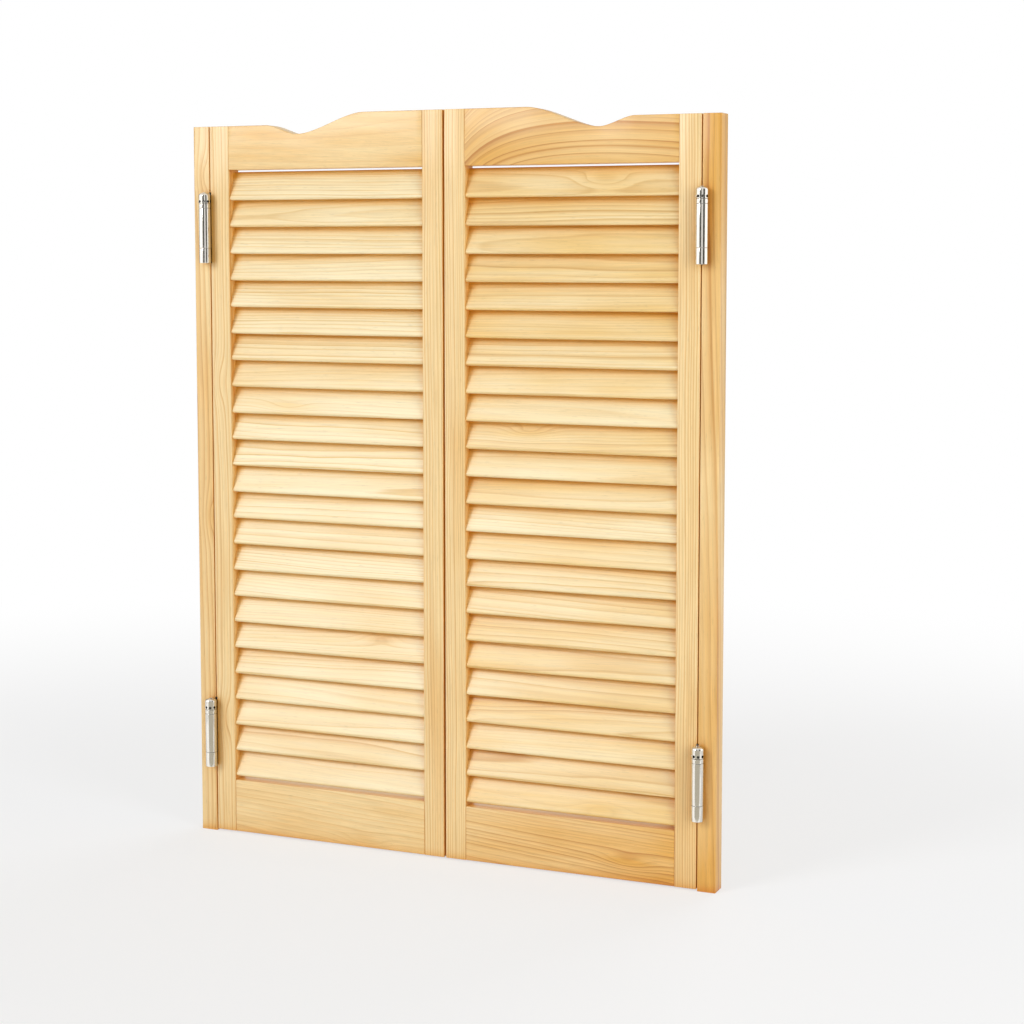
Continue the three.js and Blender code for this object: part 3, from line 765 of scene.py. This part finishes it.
# %% Slats
SLAT_SEEDS = {"left": 11, "right": 42}
SLAT_TONES = {"left": (0.0, 0.2), "right": (0.3, 0.6)}
slat_run = SLAT_WIDTH - SLAT_THICKNESS
slat_rise = slat_run * math.cos(SLAT_TILT) + SLAT_THICKNESS
slat_depth = slat_run * math.sin(SLAT_TILT) + SLAT_THICKNESS
for name, side in SIDES.items():
    opening_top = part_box(name + "_top_rail")[0].z
    opening_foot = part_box(name + "_bottom_rail")[1].z
    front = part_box(name + "_hinge_stile")[0].y
    hinge_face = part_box(name + "_hinge_stile")[0 if side > 0 else 1].x
    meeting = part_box(name + "_meeting_stile_with_slats")
    meeting_face = meeting[0 if side > 0 else 1].x + side * STILE_WIDTH
    start, end = sorted((hinge_face + side * SLAT_HOUSED, meeting_face - side * SLAT_HOUSED))
    lowest = opening_foot + SLAT_BOTTOM_GAP + slat_rise / 2
    highest = opening_top - SLAT_TOP_GAP - slat_rise / 2
    mesh = grow(name + "_slats", slat_tree, {
        "Count": SLAT_COUNT,
        "First": (start, front + SLAT_RECESS + slat_depth / 2, lowest),
        "Pitch": (highest - lowest) / (SLAT_COUNT - 1),
        "Length": end - start,
        "Width": SLAT_WIDTH,
        "Thickness": SLAT_THICKNESS,
        "Tilt": -SLAT_TILT,
        "Least Tone": SLAT_TONES[name][0],
        "Most Tone": SLAT_TONES[name][1],
        "Seed": SLAT_SEEDS[name],
        "Material": slat_pine,
    })
    mesh.shade_smooth()
    mesh.set_sharp_from_angle(angle=math.radians(35))
    finish_piece(name + "_slats", mesh, slat_pine, name + "_door")
    low = [min(v.co[i] for v in mesh.vertices) / MM for i in range(3)]
    high = [max(v.co[i] for v in mesh.vertices) / MM for i in range(3)]
    print(name, "slats from", [round(v, 1) for v in low], "to", [round(v, 1) for v in high])

# %% [markdown]
# ## Nickel and spring steel
# The hinges are rolled from steel sheet and plated with bright nickel: a smooth, slightly warm
# mirror whose polish varies a little over each piece. The springs inside are drawn wire, darker and
# duller, and the drilled holes are bare steel, darker than the plate and painted nearly black for
# the shade inside them. All are metals, so their colour is the colour of their reflections. Shade
# is painted into the narrow joints between the pieces, darkening them where other pieces are near.

# %% Metal materials
# Painted shade: the dark colour, and its reach, of the shade painted into narrow joints between the pieces.
PAINTED_METAL_SHADE = "#3A2E20"
METAL_SHADE_REACH = 4 * MM


def plated_metal(name, colour, smooth, dull, patch_mm, relief):
    material = bpy.data.materials.new(name)
    material.use_nodes = True
    tree = material.node_tree
    shader = tree.nodes["Principled BSDF"].inputs
    shader["Metallic"].default_value = 1.0
    # Painted shade: the colour darkens towards the painted joint shade where other pieces are close.
    openness = add_node(tree, "ShaderNodeAmbientOcclusion", {"Distance": METAL_SHADE_REACH}, samples=4).outputs["AO"]
    painted_shade_mix = add_node(tree, "ShaderNodeMix", {0: openness, 6: linear(PAINTED_METAL_SHADE), 7: linear(colour)}, data_type="RGBA")
    tree.links.new(painted_shade_mix.outputs[2], shader["Base Color"])
    place = add_node(tree, "ShaderNodeTexCoord").outputs["Object"]
    patches = add_node(tree, "ShaderNodeTexNoise", {
        "Vector": place, "Scale": 1 / (patch_mm * MM), "Detail": 2.0,
    }).outputs["Fac"]
    gloss = add_node(tree, "ShaderNodeMapRange", {
        "Value": patches, "From Min": 0.3, "From Max": 0.7, "To Min": smooth, "To Max": dull,
    }).outputs[0]
    tree.links.new(gloss, shader["Roughness"])
    bump = add_node(tree, "ShaderNodeBump", {"Height": patches, "Strength": relief, "Distance": 0.02 * MM})
    tree.links.new(bump.outputs[0], shader["Normal"])
    return material


nickel = plated_metal("bright nickel plate", "#DAD6CE", 0.1, 0.18, 6, 0.08)
spring_steel = plated_metal("drawn spring wire", "#8D8F92", 0.3, 0.45, 2, 0.6)
# Bare steel for the drilled holes, darker than the plate; its near-black colour is painted shade for the inside of the
# holes.
bore_steel_with_painted_shade = plated_metal("bore steel with painted shade", "#2E2B27", 0.5, 0.7, 1, 0.4)

# %% [markdown]
# ## Spring hinges
# A double-action hinge has one barrel in front of the doors and one behind them, both set a little
# towards the jamb, and a web plate joins their long middle parts. On the left of the opening the
# jamb leaf ends in a ring and a closed cup on the front axis, and the door leaf on the rear one; on
# the right the same hinge is turned half round. A collar with tommy-bar holes winds each spring, and
# a pin through the collar holds the tension. Barrels are turned from a profile whose corners are
# softened, leaves are cut as flat curves, and a boolean joins them as a rolled edge joins its plate.

# %% Hinge helpers
BARREL_RADIUS = 8.5 * MM
BARREL_WALL = 1.6 * MM
SHEET = 1.0 * MM
SOFT_EDGE = 0.35 * MM
SOFT_STEPS = 3
TURN_STEPS = 64


def softened(profile, radius):
    """Round the corners of a (radius, height) profile; a corner on the axis stays as it is."""
    points = [Vector(p) for p in profile]
    line = []
    for i, corner in enumerate(points):
        if corner.x == 0:
            line.append(corner)
            continue
        before, after = points[i - 1] - corner, points[(i + 1) % len(points)] - corner
        reach = min(radius, before.length / 2.1, after.length / 2.1)
        start, end = corner + before.normalized() * reach, corner + after.normalized() * reach
        for k in range(SOFT_STEPS + 1):
            s = k / SOFT_STEPS
            line.append(start * (1 - s) ** 2 + corner * 2 * s * (1 - s) + end * s ** 2)
    return line


def turned(name, profile, steps=TURN_STEPS):
    """Spin a profile round Z; one that starts and ends on the axis closes there."""
    form = bmesh.new()
    line = [form.verts.new((p.x, 0, p.y)) for p in profile]
    edges = [form.edges.new(pair) for pair in zip(line, line[1:])]
    if profile[0].x > 0:
        edges.append(form.edges.new((line[-1], line[0])))
    bmesh.ops.spin(form, geom=line + edges, axis=(0, 0, 1), cent=(0, 0, 0), angle=math.tau, steps=steps)
    bmesh.ops.remove_doubles(form, verts=form.verts, dist=0.001 * MM)
    bmesh.ops.recalc_face_normals(form, faces=form.faces)
    return mesh_of(name, form)


def barrel(name, foot, top):
    bore = BARREL_RADIUS - BARREL_WALL
    return turned(name, softened([(bore, foot), (BARREL_RADIUS, foot), (BARREL_RADIUS, top), (bore, top)], SOFT_EDGE))


def flat_plate(name, outline, holes):
    """A sheet in the (Y, Z) plane, its middle at X = 0, cut from an outline and round holes."""
    curve = bpy.data.curves.new(name, "CURVE")
    curve.dimensions = "2D"
    curve.fill_mode = "BOTH"
    edge = SHEET * 0.15
    curve.extrude, curve.bevel_depth, curve.offset = SHEET / 2 - edge, edge, -edge
    rings = [[(y + r * math.cos(a), z + r * math.sin(a)) for a in [math.tau * i / 24 for i in range(24)]]
             for y, z, r in holes]
    for ring in [outline, *rings]:
        spline = curve.splines.new("POLY")
        spline.points.add(len(ring) - 1)
        for point, (y, z) in zip(spline.points, ring):
            point.co = (y, z, 0, 1)
        spline.use_cyclic_u = True
    holder = bpy.data.objects.new(name, curve)
    bpy.context.collection.objects.link(holder)
    mesh = bpy.data.meshes.new_from_object(holder.evaluated_get(bpy.context.evaluated_depsgraph_get()))
    bpy.data.objects.remove(holder)
    mesh.transform(Matrix(((0, 0, 1), (1, 0, 0), (0, 1, 0))).to_4x4())
    form = bmesh.new()
    form.from_mesh(mesh)
    bmesh.ops.remove_doubles(form, verts=form.verts, dist=0.001 * MM)
    bmesh.ops.recalc_face_normals(form, faces=form.faces)
    form.to_mesh(mesh)
    form.free()
    return mesh


def moved(mesh, *steps):
    for step in steps:
        mesh.transform(step)
    return mesh

# %% [markdown]
# Forms are made about the middle of a left hinge, which lies halfway between strip and stile, with
# heights read from the frame. Each piece is a copy that is moved to its place. A leaf is made on the
# barrel at -Y; the door's leaf gets half a turn, so its own barrel is shifted the other way.

# %% Hinge forms
MODEL = "left_upper_hinge"
LEAF_DEPTH = 26 * MM
LEAF_CORNER = 4 * MM
LEAF_SHIFT = SHEET + FIT
SCREW_HOLE = 4.4 * MM
SCREW_SPREAD = 13 * MM
SCREW_END = 10.5 * MM
CUP_FLOOR = 2 * MM
DOME_RADIUS = 4.4 * MM
DOME_STEPS = 10
SPINDLE_RADIUS = 3 * MM
SPINDLE_CENTRE = 1.3 * MM
TOMMY_HOLE = 4 * MM
TOMMY_COUNT = 8
PIN_PROUD = 0.3 * MM
BAND_HEIGHT = 6.3 * MM



def hinge_centre(side_name, level):
    strip, stile = [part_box(f"{side_name}_{board_name}") for board_name in ("jamb_strip", "hinge_stile")]
    left, right = sorted((strip, stile), key=lambda box: box[0].x)
    low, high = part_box(f"{side_name}_{level}_hinge_door_leaf")
    return Vector(((left[1].x + right[0].x) / 2, 0, (low.z + high.z) / 2))


web_low, web_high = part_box(MODEL + "_web")
collar_low, collar_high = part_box(MODEL + "_front_tension_collar")
leaf_low, leaf_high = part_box(MODEL + "_jamb_leaf")
hinge_middle = hinge_centre("left", "upper")
barrel_y = -(collar_low.y + collar_high.y) / 2
barrel_shift = hinge_middle.x - (collar_low.x + collar_high.x) / 2
web_foot, web_top = web_low.z - hinge_middle.z, web_high.z - hinge_middle.z
band_foot, rim = collar_low.z - hinge_middle.z, collar_high.z - hinge_middle.z
hinge_top = leaf_high.z - hinge_middle.z
ring_foot, ring_top = web_top + FIT, band_foot - FIT
cup_top = web_foot - FIT
wall_radius = BARREL_RADIUS - BARREL_WALL / 2
wound = Matrix.Rotation(math.pi / TOMMY_COUNT, 4, "Z")


def reach_of(distance):
    """How far a sheet reaches to the wall of a barrel whose axis lies this far to its side."""
    return barrel_y - math.sqrt(wall_radius ** 2 - distance ** 2)


def rounded_corner(y, z, quarter):
    return [(y + LEAF_CORNER * math.cos(a), z + LEAF_CORNER * math.sin(a))
            for a in [math.pi / 2 * (quarter + i / 6) for i in range(7)]]


def leaf_form(shift):
    back, reach = LEAF_DEPTH / 2, reach_of(shift + LEAF_SHIFT)
    outline = [(-reach, -hinge_top),
               *rounded_corner(back - LEAF_CORNER, LEAF_CORNER - hinge_top, 3),
               *rounded_corner(back - LEAF_CORNER, hinge_top - LEAF_CORNER, 0),
               (-back, hinge_top), (-back, ring_top), (-reach, ring_top), (-reach, ring_foot),
               (-back, ring_foot), (-back, cup_top), (-reach, cup_top)]
    holes = [(y * SCREW_SPREAD / 2, z * (hinge_top - SCREW_END), SCREW_HOLE / 2) for y in (-1, 1) for z in (-1, 1)]
    plate = moved(flat_plate("leaf_plate", outline, holes), Matrix.Translation((-LEAF_SHIFT, 0, 0)))
    bore = BARREL_RADIUS - BARREL_WALL
    cup = softened([(0, -hinge_top), (BARREL_RADIUS, -hinge_top), (BARREL_RADIUS, cup_top), (bore, cup_top),
                    (bore, CUP_FLOOR - hinge_top), (0, CUP_FLOOR - hinge_top)], SOFT_EDGE)
    on_axis = Matrix.Translation((shift, -barrel_y, 0))
    knuckles = [barrel("leaf_ring", ring_foot, ring_top), turned("leaf_cup", cup)]
    return combined("hinge_leaf", [plate, *[moved(knuckle, on_axis) for knuckle in knuckles]], "UNION")


def web_form():
    reach = reach_of(barrel_shift)
    plate = flat_plate("web_plate", [(-reach, web_foot), (reach, web_foot), (reach, web_top), (-reach, web_top)], [])
    barrels = [moved(barrel("web_barrel", web_foot, web_top), Matrix.Translation((-barrel_shift, y, 0)))
               for y in (-barrel_y, barrel_y)]
    return combined("hinge_web", [plate, *barrels], "UNION")


def spindle_form():
    foot = CUP_FLOOR + FIT - hinge_top
    profile = softened([(0, foot), (SPINDLE_RADIUS, foot), (SPINDLE_RADIUS, hinge_top), (SPINDLE_CENTRE, hinge_top),
                        (SPINDLE_CENTRE, hinge_top - 2 * MM), (0, hinge_top - 2.6 * MM)], SOFT_EDGE)
    return smooth(moved(turned("hinge_spindle", profile, 32), wound))


def pin_form():
    inner, outer = SPINDLE_RADIUS, BARREL_RADIUS + PIN_PROUD
    radius = TOMMY_HOLE / 2 - FIT
    profile = softened([(0, -inner), (radius, -inner), (radius, outer), (0, outer)], SOFT_EDGE)
    lie = Matrix.Translation((0, 0, band_foot + BAND_HEIGHT / 2)) @ Matrix.Rotation(-math.pi / 2, 4, "Y")
    return smooth(moved(turned("tension_pin", profile, 24), lie, wound))


# %% [markdown]
# The tommy-bar holes run right round the collar, so Geometry Nodes drill them: cylinders stand on a
# circle, each one pointing outwards, and a boolean takes them all from the turned collar.

# %% Tension collar
hole_tree, given = modifier_tree("tommy_holes", {
    "Count": "Int", "Radius": "Float", "Depth": "Float", "Reach": "Float", "Height": "Float",
    "Bore": "Material", "Material": "Material",
})
t = hole_tree
spots = add_node(t, "GeometryNodeMeshCircle", {"Vertices": given["Count"], "Radius": given["Reach"]}).outputs[0]
drill = add_node(t, "GeometryNodeMeshCylinder", {
    "Vertices": 20, "Radius": given["Radius"], "Depth": given["Depth"],
}).outputs[0]
drill = add_node(t, "GeometryNodeSetMaterial", {"Geometry": drill, "Material": given["Bore"]}).outputs[0]
outward = add_node(t, "FunctionNodeAlignRotationToVector", {
    "Vector": add_node(t, "GeometryNodeInputPosition").outputs[0],
}, axis="Z").outputs[0]
drills = add_node(t, "GeometryNodeInstanceOnPoints", {
    "Points": spots, "Instance": drill, "Rotation": outward,
}).outputs[0]
lift = add_node(t, "ShaderNodeCombineXYZ", {"Z": given["Height"]}).outputs[0]
drills = add_node(t, "GeometryNodeTransform", {"Geometry": drills, "Translation": lift}).outputs[0]
drilled = add_node(t, "GeometryNodeMeshBoolean", {"Mesh 1": given["Geometry"], "Mesh 2": drills},
                   operation="DIFFERENCE", solver="EXACT").outputs[0]
drilled = add_node(t, "GeometryNodeRealizeInstances", {0: drilled}).outputs[0]
bored = add_node(t, "GeometryNodeMaterialSelection", {"Material": given["Bore"]}).outputs[0]
plated = add_node(t, "FunctionNodeBooleanMath", {0: bored}, operation="NOT").outputs[0]
drilled = add_node(t, "GeometryNodeSetMaterial", {
    "Geometry": drilled, "Selection": plated, "Material": given["Material"],
}).outputs[0]
add_node(t, "NodeGroupOutput", {0: drilled})


def collar_form():
    bore = SPINDLE_RADIUS + FIT
    dome = [(BARREL_RADIUS - DOME_RADIUS + DOME_RADIUS * math.cos(a), rim - DOME_RADIUS + DOME_RADIUS * math.sin(a))
            for a in [math.pi / 2 * i / DOME_STEPS for i in range(DOME_STEPS + 1)]]
    profile = [Vector(p) for p in [(bore, band_foot), (BARREL_RADIUS - SOFT_EDGE, band_foot),
                                   (BARREL_RADIUS, band_foot + SOFT_EDGE), *dome, (bore, rim)]]
    blank = turned("tension_collar", profile)
    blank.materials.append(nickel)
    collar = grow("tension_collar", hole_tree, {
        "Count": TOMMY_COUNT, "Radius": TOMMY_HOLE / 2, "Depth": BARREL_RADIUS,
        "Reach": (bore + BARREL_RADIUS) / 2 + FIT, "Height": band_foot + BAND_HEIGHT / 2,
        "Bore": bore_steel_with_painted_shade, "Material": nickel,
    }, blank)
    return smooth(moved(collar, wound))


# %% Place the hinge pieces
body_of_node = {node: body for body, nodes in frame["record"]["behaviour"]["bodies"].items() for node in nodes}
barrel_meshes = {"tension_collar": collar_form(), "spindle": spindle_form(), "tension_pin": pin_form()}
half_turn = Matrix.Rotation(math.pi, 4, "Z")
web_mesh = web_form()
leaves = [("jamb_leaf", -barrel_shift, leaf_form(-barrel_shift), Matrix.Identity(4)),
          ("door_leaf", barrel_shift, leaf_form(barrel_shift), half_turn)]


def place_hinge_piece(node, form, place):
    mesh = form.copy()
    mesh.name = node
    mesh.transform(place)
    finish_piece(node, mesh, nickel, body_of_node[node], [node])


for side_name, side in SIDES.items():
    barrel_names = ("front", "rear") if side < 0 else ("rear", "front")
    for level in LEVELS:
        hinge = f"{side_name}_{level}_hinge"
        place = Matrix.Translation(hinge_centre(side_name, level))
        if side > 0:
            place = place @ half_turn
        place_hinge_piece(hinge + "_web", web_mesh, place)
        for barrel_name, (leaf_name, shift, leaf_mesh, turn) in zip(barrel_names, leaves):
            place_hinge_piece(f"{hinge}_{leaf_name}", leaf_mesh, place @ turn)
            axis = place @ turn @ Matrix.Translation((shift, -barrel_y, 0))
            for kind, form in barrel_meshes.items():
                place_hinge_piece(f"{hinge}_{barrel_name}_{kind}", form, axis)
    print(side_name, "hinges placed;", len(web_mesh.polygons), "faces in a web")

# %% [markdown]
# ## Springs
# A torsion spring of drawn wire stands in each long barrel. Its helix is a rule, so a spiral curve
# is swept with a round section. The two springs of a hinge are half a turn apart, and both hinges
# of a door share one mesh, because their webs are one body.

# %% Springs
SPRING_WIRE = 2 * MM
SPRING_TURNS = 7

spring_tree, given = modifier_tree("torsion_springs", {
    "Turns": "Float", "Radius": "Float", "Wire": "Float", "Rise": "Float", "Foot": "Vector",
    "First": "Vector", "Hinge Step": "Vector", "Material": "Material",
})
t = spring_tree
helix = add_node(t, "GeometryNodeCurveSpiral", {
    "Resolution": 24, "Rotations": given["Turns"], "Start Radius": given["Radius"],
    "End Radius": given["Radius"], "Height": given["Rise"],
}).outputs[0]
half_wire = add_node(t, "ShaderNodeMath", {0: given["Wire"], 1: 0.5}, operation="MULTIPLY").outputs[0]
section = add_node(t, "GeometryNodeCurvePrimitiveCircle", {"Resolution": 10, "Radius": half_wire}).outputs[0]
coil = add_node(t, "GeometryNodeCurveToMesh", {
    "Curve": helix, "Profile Curve": section, "Fill Caps": True,
}).outputs[0]
front = add_node(t, "GeometryNodeTransform", {"Geometry": coil, "Translation": given["Foot"]}).outputs[0]
rear = add_node(t, "GeometryNodeTransform", {"Geometry": front, "Rotation": (0, 0, math.pi)}).outputs[0]
pair = t.nodes.new("GeometryNodeJoinGeometry")
for coil in (front, rear):
    t.links.new(coil, pair.inputs[0])
centres = add_node(t, "GeometryNodeMeshLine", {
    "Count": 2, "Start Location": given["First"], "Offset": given["Hinge Step"],
}).outputs[0]
springs = add_node(t, "GeometryNodeInstanceOnPoints", {"Points": centres, "Instance": pair.outputs[0]}).outputs[0]
springs = add_node(t, "GeometryNodeRealizeInstances", {0: springs}).outputs[0]
springs = add_node(t, "GeometryNodeSetMaterial", {"Geometry": springs, "Material": given["Material"]}).outputs[0]
add_node(t, "NodeGroupOutput", {0: springs})


for side_name, side in SIDES.items():
    upper, lower = [hinge_centre(side_name, level) for level in LEVELS]
    foot = web_foot + SPRING_WIRE
    mesh = grow(side_name + "_hinge_springs", spring_tree, {
        "Turns": float(SPRING_TURNS), "Radius": BARREL_RADIUS - BARREL_WALL - FIT - SPRING_WIRE / 2,
        "Wire": SPRING_WIRE, "Rise": band_foot - FIT - SPRING_WIRE - foot, "Foot": (0, -barrel_y, foot),
        "First": lower + Vector((side * barrel_shift, 0, 0)), "Hinge Step": upper - lower, "Material": spring_steel,
    })
    nodes = [f"{side_name}_{level}_hinge_{barrel_name}_spring" for level in LEVELS for barrel_name in ("front", "rear")]
    finish_piece(side_name + "_hinge_springs", smooth(mesh), spring_steel, side_name + "_hinge_web",
                 nodes)
    print(side_name, "springs", len(mesh.polygons), "faces")

# %% [markdown]
# ## Screws
# Four countersunk wood screws hold each leaf. One screw is turned, its cross recess is cut by a
# boolean, and Geometry Nodes set it in the four holes of each leaf, turned as each one happened to
# stop. Every row of screws rides with the piece of timber that it is driven into.

# %% Screws
SCREW_HEAD = 3.7 * MM
SCREW_PROUD = 0.45 * MM
SCREW_CORE = 1.7 * MM
SCREW_LENGTH = 16 * MM
RECESS = (1.2 * MM, 3.8 * MM, 0.7 * MM)

screw_tree, given = modifier_tree("leaf_screws", {
    "Spread": "Float", "Rise": "Float", "Facing": "Float", "Recess": "Vector", "Recess Turned": "Vector",
    "First": "Vector", "Hinge Step": "Vector", "Seed": "Int", "Material": "Material",
})
t = screw_tree
screw = given["Geometry"]
for size in ("Recess", "Recess Turned"):
    slot = add_node(t, "GeometryNodeMeshCube", {"Size": given[size]}).outputs[0]
    slot = add_node(t, "GeometryNodeTransform", {"Geometry": slot, "Translation": (SCREW_PROUD, 0, 0)}).outputs[0]
    screw = add_node(t, "GeometryNodeMeshBoolean", {"Mesh 1": screw, "Mesh 2": slot},
                     operation="DIFFERENCE", solver="EXACT").outputs[0]
spots = add_node(t, "GeometryNodeMeshGrid", {
    "Size X": given["Rise"], "Size Y": given["Spread"], "Vertices X": 2, "Vertices Y": 2,
}).outputs[0]
spots = add_node(t, "GeometryNodeTransform", {"Geometry": spots, "Rotation": (0, math.pi / 2, 0)}).outputs[0]
stopped = add_node(t, "FunctionNodeRandomValue", {2: 0.0, 3: math.pi, "Seed": given["Seed"]},
                   data_type="FLOAT").outputs[1]
driven = add_node(t, "ShaderNodeCombineXYZ", {"X": stopped, "Z": given["Facing"]}).outputs[0]
four = add_node(t, "GeometryNodeInstanceOnPoints", {"Points": spots, "Instance": screw, "Rotation": driven}).outputs[0]
centres = add_node(t, "GeometryNodeMeshLine", {
    "Count": 2, "Start Location": given["First"], "Offset": given["Hinge Step"],
}).outputs[0]
screws = add_node(t, "GeometryNodeInstanceOnPoints", {"Points": centres, "Instance": four}).outputs[0]
screws = add_node(t, "GeometryNodeRealizeInstances", {0: screws}).outputs[0]
screws = add_node(t, "GeometryNodeSetMaterial", {"Geometry": screws, "Material": given["Material"]}).outputs[0]
add_node(t, "NodeGroupOutput", {0: screws})


def screw_form():
    profile = softened([(0, -SCREW_LENGTH), (SCREW_CORE, -SCREW_LENGTH * 0.7), (SCREW_CORE, -SCREW_CORE),
                        (SCREW_CORE, 0), (SCREW_HEAD, 0), (SCREW_HEAD * 0.8, SCREW_PROUD), (0, SCREW_PROUD)], 0.1 * MM)
    return moved(turned("screw", profile, 24), Matrix.Rotation(math.pi / 2, 4, "Y"))


for side_name, side in SIDES.items():
    upper, lower = [hinge_centre(side_name, level) for level in LEVELS]
    for holder, facing in (("jamb", -side), ("door", side)):
        name = f"{side_name}_{holder}_leaf_screws"
        face = Vector((-facing * (LEAF_SHIFT - SHEET / 2), 0, 0))
        wide, long, deep = RECESS
        mesh = grow(name, screw_tree, {
            "Spread": SCREW_SPREAD, "Rise": 2 * (hinge_top - SCREW_END), "Facing": 0.0 if facing > 0 else math.pi,
            "Recess": (deep, wide, long), "Recess Turned": (deep, long, wide), "First": lower + face,
            "Hinge Step": upper - lower, "Seed": 5, "Material": nickel,
        }, screw_form())
        body = "jamb" if holder == "jamb" else side_name + "_door"
        finish_piece(name, smooth(mesh), nickel, body)
        print(name, len(mesh.polygons), "faces")
